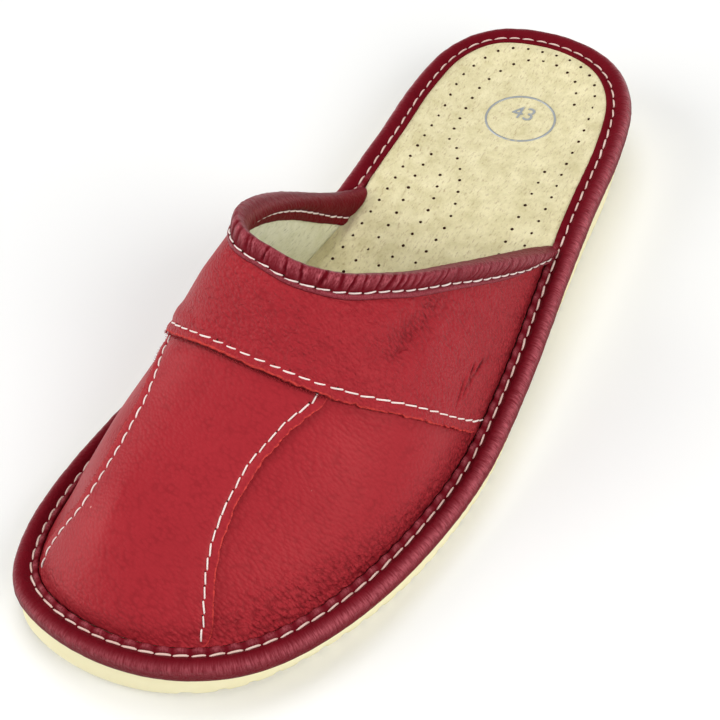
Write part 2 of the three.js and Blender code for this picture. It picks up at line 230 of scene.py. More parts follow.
def besideLine(row, across, inset, steps=6):  # the line moved so many millimetres to its left
    for _ in range(steps):
        alongRow, alongRib = surfaceSteps(row, across)
        ahead = np.gradient(upperPoint(row, across, 1.0), axis=0)
        side = unit(np.cross(np.cross(alongRib, alongRow), ahead)) * inset / steps
        rowRow, rowRib, ribRib, sideRow, sideRib = [(a * b).sum(-1) for a, b in (
            (alongRow, alongRow), (alongRow, alongRib), (alongRib, alongRib),
            (side, alongRow), (side, alongRib))]
        scale = rowRow * ribRib - rowRib**2
        row = row + (sideRow * ribRib - sideRib * rowRib) / scale
        across = across + (sideRib * rowRow - sideRow * rowRib) / scale
    return row, across


# Small tools for grids of points
def softNoise(points, size):  # about -1 to 1, lumps of that many millimetres
    flat = points.reshape(-1, points.shape[-1]) / size
    return np.array([noise.noise(Vector(p)) for p in flat]).reshape(points.shape[:-1])


def lumps(points, height, size):
    return height * softNoise(points, size)


def ringNormals(rings, closed=False):  # rows of rings, the last row joined to the first where closed
    along = np.roll(rings, -1, 0) - np.roll(rings, 1, 0) if closed else np.gradient(rings, axis=0)
    around = np.roll(rings, -1, 1) - np.roll(rings, 1, 1)
    return unit(np.cross(around, along))


def nearest(points, line, block=64):  # distance to the closest point of a line, and which it is
    flat = points.reshape(-1, 3)
    best = np.full(len(flat), np.inf)
    which = np.zeros(len(flat), int)
    for start in range(0, len(line), block):
        gaps = ((flat[:, None] - line[start:start + block]) ** 2).sum(-1)
        pick = gaps.argmin(1)
        least = gaps[np.arange(len(flat)), pick]
        which = np.where(least < best, pick + start, which)
        best = np.minimum(least, best)
    return np.sqrt(best).reshape(points.shape[:-1]), which.reshape(points.shape[:-1])


# how far a crease strays, in half widths; height and place of the ridge that it throws up beside it;
# the part of a half wave that its depth follows
creaseStyle = {"stray": 0.9, "strayLump": 6, "ridge": 0.35, "ridgeAt": 2.2, "taper": (0.12, 0.88),
               "points": 40}


def creaseRelief(row, across, creases):
    # each crease: row and across of its two ends, depth and half width in millimetres
    points = upperPoint(row, across, 1.0)
    relief = np.zeros(points.shape[:-1])
    stray = np.stack([softNoise(points + shift, creaseStyle["strayLump"]) for shift in (0, 40, 80)], -1)
    t = np.linspace(0, 1, creaseStyle["points"])
    for rowA, acrossA, rowB, acrossB, depth, width in creases:
        line = upperPoint(mix(rowA, rowB, t), mix(acrossA, acrossB, t), 1.0)
        away, which = nearest(points + creaseStyle["stray"] * min(1, width) * stray, line)
        taper = depth * np.sin(np.pi * mix(*creaseStyle["taper"], t[which]))
        ridge = creaseStyle["ridge"] * bell(away - creaseStyle["ridgeAt"] * width, width)
        relief += taper * (ridge - bell(away, width))
    return relief


def gridQuads(grid, wrapRows=False, wrapColumns=False):
    rows, columns = grid.shape[:2]
    index = np.arange(rows * columns).reshape(rows, columns)
    if wrapRows:
        index = np.vstack([index, index[:1]])
    if wrapColumns:
        index = np.hstack([index, index[:, :1]])
    return np.stack([index[:-1, :-1], index[1:, :-1], index[1:, 1:], index[:-1, 1:]], -1).reshape(-1, 4)


def addObject(name, data):
    thing = bpy.data.objects.new(name, data)
    scene.collection.objects.link(thing)
    return thing


def setAttribute(mesh, name, values):
    wide = values.ndim > 1
    layer = mesh.attributes.new(name, "FLOAT_VECTOR" if wide else "FLOAT", "POINT")
    layer.data.foreach_set("vector" if wide else "value", values.astype(np.float32).ravel())


def finalMesh(thing):
    return bpy.data.meshes.new_from_object(thing.evaluated_get(bpy.context.evaluated_depsgraph_get()))


def addPiece(name, points, faces, material, marks=None, node=None, slot=None):
    mesh = bpy.data.meshes.new(name)
    mesh.from_pydata((points.reshape(-1, 3) * mm).tolist(), [], [list(map(int, f)) for f in faces])
    for key, values in (marks or {}).items():
        setAttribute(mesh, key, values)
    work = bmesh.new()
    work.from_mesh(mesh)
    bmesh.ops.remove_doubles(work, verts=work.verts, dist=1e-6)
    tips = [v for v in work.verts if len(v.link_edges) == 2]  # where a sheet's halves meet in a point
    bmesh.ops.dissolve_verts(work, verts=tips)
    if work.calc_volume(signed=True) < 0:
        bmesh.ops.reverse_faces(work, faces=work.faces)
    work.to_mesh(mesh)
    work.free()
    mesh.shade_smooth()
    mesh.materials.append(material)
    piece = addObject(name, mesh)
    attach(piece, "root")
    if node:
        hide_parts(node)
    return piece


def addSheet(name, top, under, material, marks=None, openStart=False, **belongs):
    # two grids, the second below the first, and their rim; a mark made as a grid counts for both
    quads = gridQuads(top)
    index = np.arange(top[..., 0].size).reshape(top.shape[:2])
    rims = [index[:, 0], index[-1], index[::-1, -1]]
    if not openStart:
        rims.append(index[0, ::-1])
    walls = [np.stack([r[1:], r[:-1], r[:-1] + index.size, r[1:] + index.size], -1) for r in rims]
    faces = np.vstack([quads, quads[:, ::-1] + index.size, *walls])
    both = {key: np.tile(v.ravel(), 2) if v.ndim > 1 else v for key, v in (marks or {}).items()}
    return addPiece(name, np.concatenate([top, under]), faces, material, both, **belongs)


# Nodes and materials
def linear(hexColour):
    parts = [int(hexColour[i:i + 2], 16) / 255 for i in (1, 3, 5)]
    return [p / 12.92 if p <= 0.04045 else ((p + 0.055) / 1.055) ** 2.4 for p in parts] + [1.0]


def wire(tree, node, inputs):  # a node given as a value is linked by the first of its outputs in use
    for name, value in inputs.items():
        if isinstance(value, bpy.types.Node):
            value = next(socket for socket in value.outputs if socket.enabled)
        if isinstance(value, bpy.types.NodeSocket):
            tree.links.new(value, node.inputs[name])
        else:
            node.inputs[name].default_value = value


def addNode(tree, kind, inputs=None, **settings):
    node = tree.nodes.new(kind)
    for name, value in settings.items():
        setattr(node, name, value)
    wire(tree, node, inputs or {})
    return node


def perMm(size):  # texture scale for a pattern of that many millimetres
    return 1 / (size * mm)


def newMaterial(name, tones, size, detail=4.0, rough=0.5, spread=(0.0, 1.0)):
    # two tones that mix in clouds of that many millimetres, over that part of the noise
    material = bpy.data.materials.new(name)
    material.use_nodes = True

    def add(kind, inputs=None, **settings):
        return addNode(material.node_tree, "ShaderNode" + kind, inputs, **settings)

    place = add("TexCoord").outputs["Object"]
    cloud = add("TexNoise", {
        "Vector": place, "Scale": perMm(size), "Detail": detail, "Roughness": rough})
    cloud = add("MapRange", {"Value": cloud, "From Min": spread[0], "From Max": spread[1]})
    colour = add("Mix", {0: cloud, 6: linear(tones[0]), 7: linear(tones[1])}, data_type="RGBA")
    return material, add, place, cloud, colour


def finished(material, inputs):
    wire(material.node_tree, material.node_tree.nodes["Principled BSDF"], inputs)
    return material


redFinish = {
    "tones": ("#9a232c", "#a82c34"),
    # colour of the painted shade in grain hollows, folds and under cut lips
    "fold": "#560810",
    "speck": "#e0a198",
    # raw fibre colour of a cut edge, lightened as a painted highlight
    "cutEdge": "#d0463f",
    "sheen": "#ff9a92",
    "mottle": 26.0,
    "grain": 0.9,  # real pores are nearer 0.5 mm, too fine for the picture
    "patch": 5.0,
    "speckSpacing": 10.5,
    "fibre": 1.1,
    "wrinkle": 2.6,
}


def nappaLeather():
    # Drum-dyed calf nappa: satin sheen, drawn-out pebble grain, painted shade in the grain hollows, the folds
    # and under cut lips, raw fibre colour at cut edges lightened as a painted highlight
    look = redFinish
    material, add, place, mottle, colour = newMaterial(
        "nappa_leather_red", look["tones"], look["mottle"], rough=0.55)
    pucker, cut, fold, crease = [add("Attribute", attribute_name=name).outputs["Fac"]
                                 for name in ("pucker", "cutEdge", "fold", "crease")]
    drawn = add("Mapping", {
        "Vector": place, "Rotation": (0, 0.64, 0), "Scale": (2.0, 1, 1)}, vector_type="TEXTURE")
    grain = add("TexVoronoi", {
        "Vector": drawn, "Scale": perMm(look["grain"]), "Smoothness": 0.3}, feature="SMOOTH_F1")
    hollow = add("MapRange", {"Value": grain, "From Min": 0.35, "From Max": 0.75})
    patchy = add("TexNoise", {"Vector": place, "Scale": perMm(look["patch"]), "Detail": 3.0})
    share = add("MapRange", {
        "Value": patchy, "From Min": 0.4, "From Max": 0.62, "To Min": 0.06, "To Max": 0.22})
    # painted shade: grain hollows darkened in patches, more in the folds; the crease mark adds painted shade
    # under lips and in sharp folds
    depth = add("Math", {0: fold, 1: 0.5, 2: share}, operation="MULTIPLY_ADD")
    paintedShade = add("Math", {0: hollow, 1: depth}, operation="MULTIPLY")
    paintedShade = add("Math", {0: paintedShade, 1: crease}, operation="MAXIMUM")
    dust = add("TexVoronoi", {"Vector": place, "Scale": perMm(look["speckSpacing"])})
    speck = add("MapRange", {"Value": dust, "From Min": 0.04, "From Max": 0.02, "To Max": 0.8})
    fibre = add("TexNoise", {"Vector": place, "Scale": perMm(look["fibre"]), "Detail": 3.0})
    frayed = add("Math", {0: cut, 1: fibre}, operation="MULTIPLY")
    frayed = add("MapRange", {"Value": frayed, "From Min": 0.2, "From Max": 0.52})
    # mix in the painted shade, the dust specks, and the cut edges' fibre colour with its painted highlight
    for amount, tone in ((paintedShade, "fold"), (speck, "speck"), (frayed, "cutEdge")):
        colour = add("Mix", {0: amount, 6: colour, 7: linear(look[tone])}, data_type="RGBA")
    gloss = add("MapRange", {
        "Value": mottle, "From Min": 0.3, "From Max": 0.7, "To Min": 0.5, "To Max": 0.43})
    rough = add("Math", {0: frayed, 1: 0.4, 2: gloss}, operation="MULTIPLY_ADD")
    relief = add("Math", {0: pucker, 1: 0.35}, operation="ADD")
    fine = add("Bump", {"Height": grain, "Strength": relief, "Distance": 0.4 * mm}, invert=True)
    folds = add("TexNoise", {
        "Vector": place, "Scale": perMm(look["wrinkle"]), "Detail": 3.0, "Distortion": 1.6})
    gathered = add("Math", {0: folds, 1: pucker}, operation="MULTIPLY")
    coarse = add("Bump", {"Height": gathered, "Strength": 0.9, "Distance": 1.5 * mm, "Normal": fine})
    return finished(material, {
        "Base Color": colour, "Roughness": rough, "Normal": coarse,
        "Specular IOR Level": 0.34, "Specular Tint": linear(look["sheen"])})


burgundyFinish = {
    "tones": ("#590a14", "#74131f"),
    # colour of the painted pink highlight
    "paintedHighlightAndGloss": "#c0616b",
    "sheen": "#ff8f98",
    "mottle": 8.0,
    "crossing": 0.4,  # pitch of the fine lines across the roll
    "pebble": 1.1,
}


def glazedLeather():
    # Glazed sheep leather over a core: shinier than the red; where the mask says, a painted pink highlight,
    # broken by fine lines across the roll, lightens the colour and the leather is glossier
    look = burgundyFinish
    material, add, place, _, dye = newMaterial(
        "glazed_leather_burgundy", look["tones"], look["mottle"], rough=0.6)
    flow = add("Attribute", attribute_name="flow").outputs["Vector"]
    glossAndHighlight = add("Attribute", attribute_name="paintedHighlightAndGloss").outputs["Fac"]
    lines = add("TexNoise", {
        "Vector": flow, "Scale": perMm(look["crossing"]), "Detail": 3.0, "Roughness": 0.6})
    # painted highlight: the pale colour along the glossy line, broken by the cross lines
    highlightPaint = add("MapRange", {
        "Value": lines, "From Min": 0.36, "From Max": 0.66, "To Min": 0.1, "To Max": 0.9})
    highlightPaint = add("Math", {0: glossAndHighlight, 1: highlightPaint}, operation="MULTIPLY")
    colour = add("Mix", {0: highlightPaint, 6: dye, 7: linear(look["paintedHighlightAndGloss"])}, data_type="RGBA")
    rough = add("MapRange", {"Value": glossAndHighlight, "To Min": 0.55, "To Max": 0.32})
    shine = add("MapRange", {"Value": glossAndHighlight, "To Min": 0.08, "To Max": 0.8})
    pebble = add("TexNoise", {"Vector": place, "Scale": perMm(look["pebble"]), "Detail": 4.0})
    grain = add("Bump", {"Height": pebble, "Strength": 0.8, "Distance": 0.6 * mm})
    across = add("Bump", {"Height": lines, "Strength": glossAndHighlight, "Distance": 0.18 * mm, "Normal": grain})
    return finished(material, {
        "Base Color": colour, "Roughness": rough, "Normal": across,
        "Specular IOR Level": shine, "Specular Tint": linear(look["sheen"])})


def suede(name, colours, nap):
    # Buffed split leather: no gloss, a nap that lies in streaks, the dye blotched and speckled
    material, add, place, _, dye = newMaterial(
        name, colours, size=8.0, detail=7.0, rough=0.75, spread=(0.35, 0.62))
    brushed = add("Mapping", {"Vector": place, "Rotation": (0, 0, 0.7), "Scale": (1, 0.35, 1)})
    fibres = add("TexNoise", {
        "Vector": brushed, "Scale": perMm(nap), "Detail": 4.0, "Roughness": 0.7})
    flecks = add("MapRange", {"Value": fibres, "From Min": 0.54, "From Max": 0.7, "To Max": 0.75})
    colour = add("Mix", {0: flecks, 6: dye, 7: linear(colours[2])}, data_type="RGBA")
    bump = add("Bump", {"Height": fibres, "Strength": 1.0, "Distance": 0.4 * mm})
    return finished(material, {
        "Base Color": colour, "Normal": bump, "Roughness": 0.95, "Specular IOR Level": 0.15,
        "Sheen Weight": 0.25, "Sheen Roughness": 0.6})


def soleFoam():
    # Moulded EVA foam: matte pale cream, a skin with fine closed pores
    material, add, place, _, cream = newMaterial("eva_foam_cream", ("#efe5b6", "#fcf5d0"), size=18.0)
    pores = add("TexVoronoi", {"Vector": place, "Scale": perMm(1.0)}, feature="F1")
    bump = add("Bump", {"Height": pores, "Strength": 0.15, "Distance": 0.1 * mm})
    return finished(material, {
        "Base Color": cream, "Normal": bump, "Roughness": 0.82, "Specular IOR Level": 0.25})


def waxedThread(name, tones):
    # Waxed polyester thread: off white, tight twist that shows as fine cross lines
    material, add, place, _, soil = newMaterial(name, tones, size=6.0, detail=3.0)
    twist = add("TexNoise", {"Vector": place, "Scale": perMm(0.35), "Detail": 1.0})
    bump = add("Bump", {"Height": twist, "Strength": 0.5, "Distance": 0.15 * mm})
    return finished(material, {
        "Base Color": soil, "Normal": bump, "Roughness": 0.6, "Specular IOR Level": 0.35})


def punchedHole():
    # Inside of a punched or pricked hole: raw leather in deep shade
    material, _, _, _, shade = newMaterial("hole_shade", ("#2a100d", "#43281a"), size=4.0, detail=2.0)
    return finished(material, {"Base Color": shade, "Roughness": 0.95, "Specular IOR Level": 0.1})


def hotFoil():
    # Hot-stamped silver foil on suede: bright where it holds, worn through where the nap lifted it
    material, add, _, kept, colour = newMaterial(
        "hot_foil_silver", ("#d6cba0", "#b9bfc4"), size=1.3, rough=0.7, spread=(0.32, 0.44))
    metal = add("Math", {0: kept, 1: 0.4}, operation="MULTIPLY")
    rough = add("MapRange", {"Value": kept, "To Min": 0.9, "To Max": 0.38})
    return finished(material, {
        "Base Color": colour, "Metallic": metal, "Roughness": rough, "Specular IOR Level": 0.5})


redLeather = nappaLeather()
burgundyLeather = glazedLeather()
insoleSuede = suede("suede_cream", ("#d1c696", "#ebe1b6", "#ad9670"), 0.75)
liningSuede = suede("suede_lining", ("#e6e7c0", "#fbfbde", "#b4b48c"), 1.0)
foam = soleFoam()
upperThread = waxedThread("waxed_thread", ("#e8d0c6", "#fcf3ee"))
# the rand's thread is pinker and darker than the upper's
randThread = waxedThread("waxed_thread_pink", ("#d4a99b", "#f3ded2"))
holeShade = punchedHole()
foil = hotFoil()
print("materials ready")


# Trees that set a small shape along a path
copySizes = (0.88, 1.08)  # least and most


def makeFollowTree(name, sizes, shapeOf, tilt):
    tree = bpy.data.node_groups.new(name, "GeometryNodeTree")
    lengths = [(size, "Float") for size in ("Pitch", *sizes)]
    for label, kind in [("Path", "Geometry"), *lengths, ("Seed", "Int"), ("Finish", "Material")]:
        tree.interface.new_socket(label, in_out="INPUT", socket_type="NodeSocket" + kind)
    tree.interface.new_socket("Pieces", in_out="OUTPUT", socket_type="NodeSocketGeometry")
    add = partial(addNode, tree)
    given = add("NodeGroupInput").outputs
    curve = add("GeometryNodeMeshToCurve", {"Mesh": given["Path"]})
    spaced = add("GeometryNodeResampleCurve", {"Curve": curve, "Length": given["Pitch"]}, mode="LENGTH")
    tangent = add("GeometryNodeInputTangent")
    up = add("GeometryNodeInputNamedAttribute", {"Name": "up"}, data_type="FLOAT_VECTOR")
    facing = add("FunctionNodeAlignRotationToVector", {"Vector": tangent}, axis="X")
    upright = add("FunctionNodeAlignRotationToVector", {
        "Rotation": facing, "Vector": up}, axis="Z", pivot_axis="X")
    loose = add("FunctionNodeRandomValue", {
        "Min": tilt[0], "Max": tilt[1], "Seed": given["Seed"]}, data_type="FLOAT_VECTOR")
    turned = add("FunctionNodeRotateRotation", {
        "Rotation": upright, "Rotate By": loose}, rotation_space="LOCAL")
    grown = add("FunctionNodeRandomValue", {
        2: copySizes[0], 3: copySizes[1], "Seed": given["Seed"]}, data_type="FLOAT")
    copies = add("GeometryNodeInstanceOnPoints", {
        "Points": spaced, "Instance": shapeOf(add, given), "Rotation": turned, "Scale": grown})
    real = add("GeometryNodeRealizeInstances", {"Geometry": copies})
    smooth = add("GeometryNodeSetShadeSmooth", {"Geometry": real})
    done = add("GeometryNodeSetMaterial", {"Geometry": smooth, "Material": given["Finish"]})
    add("NodeGroupOutput", {"Pieces": done})
    return tree


def stitchShape(add, given):  # thread that comes up through one hole, lies flat and dives into the next
    half, back, down, high, radius = [
        add("ShaderNodeMath", {0: given[size], 1: share}, operation="MULTIPLY") for size, share in (
            ("Length", 0.5), ("Length", -0.5), ("Thread", -0.9), ("Thread", 0.75), ("Thread", 0.5))]
    ends = [add("ShaderNodeCombineXYZ", {"X": x, "Z": z})
            for x, z in ((back, down), (back, high), (half, high), (half, down))]
    bow = add("GeometryNodeCurvePrimitiveBezierSegment", {
        "Resolution": 8, "Start": ends[0], "Start Handle": ends[1], "End Handle": ends[2], "End": ends[3]})
    ring = add("GeometryNodeCurvePrimitiveCircle", {"Resolution": 6, "Radius": radius})
    return add("GeometryNodeCurveToMesh", {"Curve": bow, "Profile Curve": ring, "Fill Caps": True})


def holeShape(add, given):  # shallow plug whose dark top shows
    plug = add("GeometryNodeMeshCylinder", {
        "Vertices": 10, "Radius": given["Radius"], "Depth": given["Depth"]}, fill_type="NGON")
    along = add("ShaderNodeCombineXYZ", {"X": given["Ahead"], "Z": given["Sink"]})
    return add("GeometryNodeTransform", {"Geometry": plug, "Translation": along})


def fibreShape(add, given):  # leather fibre that stands out of a cut edge
    return add("GeometryNodeMeshCone", {
        "Vertices": 4, "Radius Top": 0.02 * mm, "Radius Bottom": given["Radius"], "Depth": given["Length"]})


# the last two: least and most turn of a copy, in radians
stitchTree = makeFollowTree("stitches", ("Length", "Thread"), stitchShape,
                            ((-0.06, -0.03, 0.02), (0.06, 0.03, 0.15)))
holeTree = makeFollowTree("holes", ("Radius", "Depth", "Ahead", "Sink"), holeShape, ((0, 0, 0), (0, 0, 0.3)))
fibreTree = makeFollowTree("cut_fibres", ("Length", "Radius"), fibreShape,
                           ((-1.3, -0.9, -0.6), (1.3, 0.9, 0.6)))


def followPaths(name, tree, paths, values, material):
    # paths: list of (points, ups, closed) in millimetres; values by input name, lengths in millimetres
    edges = []
    start = 0
    for path, _, closed in paths:
        count = len(path)
        edges += [(start + i, start + (i + 1) % count) for i in range(count if closed else count - 1)]
        start += count
    mesh = bpy.data.meshes.new(name + "_path")
    mesh.from_pydata((np.vstack([path[0] for path in paths]) * mm).tolist(), edges, [])
    setAttribute(mesh, "up", np.vstack([path[1] for path in paths]))
    piece = addObject(name, mesh)
    nodes = piece.modifiers.new("follow", "NODES")
    nodes.node_group = tree
    for socket in tree.interface.items_tree:
        if socket.name == "Finish":
            nodes[socket.identifier] = material
        elif socket.name in values:
            value = values[socket.name]
            nodes[socket.identifier] = value if socket.name == "Seed" else value * mm
    shape = finalMesh(piece)
    piece.modifiers.remove(nodes)
    piece.data = shape
    bpy.data.meshes.remove(mesh)
    shape.name = name
    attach(piece, "root")


def layOn(row, across, grid, base, lift):  # line on the upper set that far over a sheet's finished face
    points = upperPoint(row, across, 1.0)
    up = upperNormal(row, across)
    _, which = nearest(points, base.reshape(-1, 3))
    height = ((grid - base).reshape(-1, 3)[which] * up).sum(-1)
    height = runningMean(np.pad(height, 2, "edge"), 2)
    return points + up * (height + lift)[:, None], up


# distance from stitch to stitch, share of it that shows, thread, how proud it stands of the leather
seams = {
    "rand": {"pitch": 5.2, "share": 0.86, "thread": 0.74, "proud": 0.1, "hole": 0.28, "yarn": randThread},
    "panel": {"pitch": 4.1, "share": 0.88, "thread": 0.56, "proud": 0.08, "hole": 0.3, "yarn": upperThread},
    "band": {"pitch": 4.75, "share": 0.9, "thread": 0.56, "proud": 0.08, "hole": 0.3, "yarn": upperThread},
    "binding": {"pitch": 4.7, "share": 0.87, "thread": 0.58, "proud": 0.12, "hole": 0.3, "yarn": upperThread},
}


def sewLine(name, paths, seed, pitch=None):
    seam = seams[name]
    pitch = pitch or seam["pitch"]
    proud = [(points + seam["proud"] * up, up, closed) for points, up, closed in paths]
    followPaths(name + "_stitches", stitchTree, proud, {
        "Pitch": pitch, "Length": pitch * seam["share"], "Thread": seam["thread"],
        "Seed": seed}, seam["yarn"])
    followPaths(name + "_needle_holes", holeTree, paths, {
        "Pitch": pitch, "Radius": seam["hole"], "Depth": 0.5, "Ahead": pitch / 2, "Sink": -0.22,
        "Seed": seed}, holeShade)


# Foam wedge sole
soleForm = {
    "topDrop": 5.8,
    "topReach": 4.5,
    "taper": 0.19,
    "archRise": 2.4,
    "archSpan": (-22.0, 52.0),
    "waistTuck": 1.6,
    "toeSpring": 3.2,
    "toeSpringStart": -84.0,
    "flare": (-4.0, -3.8, -62.0, 60.0),  # x, y, start, span
    "swell": 0.35,
    "ribPitch": 6.0,
    "ribCentre": -132.0,
    "ribLand": 3.2,
    "grooveSlope": 0.8,
    "grooveDepth": 1.3,
    "lastRib": 133.0,
    "stations": 900,
    "bottomSteps": 13,
    "coverSteps": 9,
    # wall from the tread up: share of its height, inset, rise of the rounded lower edge
    "wall": ((0, 1.3, 0), (0, 0.5, 0.15), (0.02, 0.1, 0.3), (0.1, 0, 0), (0.3, 0, 0), (0.55, 0, 0),
             (0.8, 0, 0), (1, 0, 0)),
}


def archAt(y):
    start, end = soleForm["archSpan"]
    return np.sin(np.pi * np.clip((y - start) / (end - start), 0, 1)) ** 2


def treadHeight(y):
    start = soleForm["toeSpringStart"]
    toe = np.maximum(0, (start - y) / (last["halfLength"] + start))
    return soleForm["archRise"] * archAt(y) + soleForm["toeSpring"] * toe**2


def makeSole():
    form = soleForm
    turn = np.linspace(0, 180, form["stations"])
    y = seamPoint(turn)[1]
    away = np.abs((y - form["ribCentre"] + form["ribPitch"] / 2) % form["ribPitch"] - form["ribPitch"] / 2)
    cut = ease((away - form["ribLand"] / 2) / form["grooveSlope"])
    cut = np.where(np.abs(y) < form["lastRib"], cut, 0) * form["grooveDepth"]
    height = seatHeight(y) - form["topDrop"] - treadHeight(y) - cut
    reach = form["topReach"] - form["taper"] * height - form["waistTuck"] * archAt(y)
    flareX, flareY, start, span = form["flare"]

    def wall(side, share, inset, rise):
        around = turn if side > 0 else 360 - turn
        x, y = outlinePoint(around, reach - inset)
        flare = ease((start - y) / span)
        y = y + flareY * flare
        low = np.stack([x + flareX * flare, y, treadHeight(y) + cut + rise], -1)
        x, y = outlinePoint(around, form["topReach"])
        points = mix(low, np.stack([x, y, seatHeight(y) - form["topDrop"]], -1), share)
        swollen = outlinePoint(around, form["swell"] * math.sin(math.pi * share))
        points[:, :2] += np.subtract(swollen, seamPoint(around)).T
        return points

    outer, inner = [[wall(side, *place) for place in form["wall"]] for side in (1, -1)]
    bottom = [mix(inner[0], outer[0], t) for t in np.linspace(0, 1, form["bottomSteps"])[1:-1]]
    cover = [mix(outer[-1], inner[-1], t) for t in np.linspace(0, 1, form["coverSteps"])[1:-1]]
    ring = np.stack(bottom + outer + cover + inner[::-1], 1)
    addPiece("sole_foam", ring, gridQuads(ring, wrapColumns=True), foam, node="outsole", slot="foam")


makeSole()
print("sole ready")

# Insole, hollowed for the heel and lifted under the arch
insoleForm = {
    "reach": -1.9,
    "reachInUpper": -3.1,
    "rimDrop": 0.3,
    "bottomDrop": 5.5,
    "sink": ((0, 0), (3, 0), (7, 0.4), (11.5, 0.8), (16.5, 1)),  # inset from the rim, share of the heel cup
    "lift": ((0, 0), (3, 0), (7, 1), (11.5, 0.7), (16.5, 0.2)),
    "cup": (3.2, 95.0, 52.0),  # depth, station, span
    "arch": (1.6, 18.0, 45.0, 34.0),  # height, station, span, reach
    "grid": (211, 81),
    "unevenness": (0.12, 14),  # height and size of its soft lumps
    "holes": {"Pitch": 5.6, "Radius": 0.54, "Depth": 0.8, "Ahead": 0.0, "Sink": -0.28, "Seed": 4},
}
insoleSink = tableCurve(insoleForm["sink"])
insoleLift = tableCurve(insoleForm["lift"])

# Rows of punched holes, as x and y on the insole
insoleHoles = (
    ((38, -15), (34, 15), (31, 40), (29, 66), (25.5, 86), (24, 100), (21, 115), (15, 126), (4, 132),
     (-8, 132.5), (-18, 131), (-25, 126), (-29.5, 115), (-30, 106), (-28, 92), (-27, 80), (-26, 68),
     (-25, 50), (-25, 34), (-26, 20), (-31, -10), (-36, -40)),
    ((24.2, 40), (22, 60), (20, 80)),
    ((13.8, 114), (9, 124), (-2, 129), (-12, 127.5), (-18.5, 121), (-22, 110), (-21.6, 99), (-20, 87),
     (-18.8, 81), (-13.4, 77.4), (-10.6, 72.6), (-7, 68.3), (-2, 58), (1.2, 47), (1.5, 36), (0, 26)),
    ((-20.3, 71), (-19.7, 57), (-17.5, 46), (-16.8, 36), (-18, 24), (-21, 12), (-25, -10)),
    ((-12.2, 63.4), (-8.1, 51), (-7.2, 39), (-8, 27), (-11, 20)),
)


def insideUpper(turn):  # 1 beside the upper, 0 round the open heel
    end, fade = last["upperEnd"]
    return ease((end - np.minimum(turn, 360 - turn)) / fade)


def insoleEdge(turn):
    reach = mix(insoleForm["reach"], insoleForm["reachInUpper"], insideUpper(turn))
    return np.stack(outlinePoint(turn, reach), -1)


insoleRim = insoleEdge(np.arange(0, 360, 0.5))
insoleRim = np.column_stack([insoleRim, np.zeros(len(insoleRim))])


def insoleHeight(x, y):
    inset, _ = nearest(np.stack([x, y, np.zeros_like(x)], -1), insoleRim)
    depth, at, span = insoleForm["cup"]
    cup = depth * bell(y - at, span)
    height, at, span, reach = insoleForm["arch"]
    arch = height * bell(y - at, span) * np.clip(-x / reach, 0, 1)
    return seatHeight(y) - insoleForm["rimDrop"] - cup * insoleSink(inset) + arch * insoleLift(inset)


def smoothLine(points, step=1.0):  # rounded line through given points, a point every step
    points = np.array(points, float)
    padded = np.vstack([2 * points[0] - points[1], points, 2 * points[-1] - points[-2]])
    line = []
    for a, b, c, d in zip(padded, padded[1:], padded[2:], padded[3:]):
        count = max(2, int(np.linalg.norm(c - b) / step))
        line.append(splinePoint(a, b, c, d, np.linspace(0, 1, count, endpoint=False)[:, None]))
    return np.vstack(line + [points[-1:]])


def makeInsole():
    rows, columns = insoleForm["grid"]
    turn = np.linspace(0, 180, rows)[:, None]
    flat = mix(insoleEdge(360 - turn), insoleEdge(turn), np.linspace(0, 1, columns)[:, None])
    top = np.dstack([flat, insoleHeight(flat[..., 0], flat[..., 1])])
    top[..., 2] += lumps(top, *insoleForm["unevenness"])
    under = np.dstack([flat, seatHeight(flat[..., 1]) - insoleForm["bottomDrop"]])
    addSheet("insole_suede", top, under, insoleSuede, node="insole", slot="suede")
    paths = []
    for row in insoleHoles:
        line = smoothLine(row)
        path = np.column_stack([line, insoleHeight(line[:, 0], line[:, 1])])
        paths.append((path, np.tile((0.0, 0.0, 1.0), (len(path), 1)), False))
    followPaths("insole_perforations", holeTree, paths, insoleForm["holes"], holeShade)


makeInsole()
print("insole ready")

# Size stamp on the heel of the insole
stamp = {
    "centre": (-0.8, 100.5),
    "halfSize": (13.0, 11.5),
    "line": 0.75,
    "points": 120,
    "size": "43",
    "digitHeight": 6.2,
    "capitals": 0.7,  # height of a digit as a share of the type size, about
    "thickness": 0.08,
    "digitPlace": (-0.9, 103.2),
    "turn": 0.06,
    "clear": 0.13,  # over the suede, so that its lumps stay below the foil
    "section": ((0, -0.1), (0, 0.06), (1, 0.06), (1, -0.1)),  # share of the line's width, height
}


def layOnInsole(x, y, height):
    return np.stack([x, y, height + (insoleHeight(x, y) + stamp["clear"])], -1)


def makeStamp():
    angle = np.linspace(0, 2 * np.pi, stamp["points"], endpoint=False)
    (centreX, centreY), (halfX, halfY) = stamp["centre"], stamp["halfSize"]
    inset, height = np.array(stamp["section"]).T
    x = centreX + (halfX - inset * stamp["line"]) * np.cos(angle)[:, None]
    y = centreY + (halfY - inset * stamp["line"]) * np.sin(angle)[:, None]
    ring = layOnInsole(x, y, height)
    addPiece("stamp_oval", ring, gridQuads(ring, True, True), foil)
    words = bpy.data.curves.new("stamp_size", "FONT")
    words.body = stamp["size"]
    words.align_x = "CENTER"
    words.align_y = "CENTER"
    words.size = stamp["digitHeight"] / stamp["capitals"]
    words.extrude = stamp["thickness"]
    holder = addObject("stamp_words", words)
    mesh = finalMesh(holder)
    bpy.data.objects.remove(holder)
    flatX, flatY, height = np.array([v.co for v in mesh.vertices]).T
    cos, sin = math.cos(stamp["turn"]), math.sin(stamp["turn"])
    x = stamp["digitPlace"][0] + cos * flatX - sin * flatY
    y = stamp["digitPlace"][1] + sin * flatX + cos * flatY
    digits = addPiece("stamp_size", layOnInsole(x, y, height), [p.vertices for p in mesh.polygons], foil)
    bpy.data.meshes.remove(mesh)
    digits.data.shade_flat()


makeStamp()
print("stamp ready")

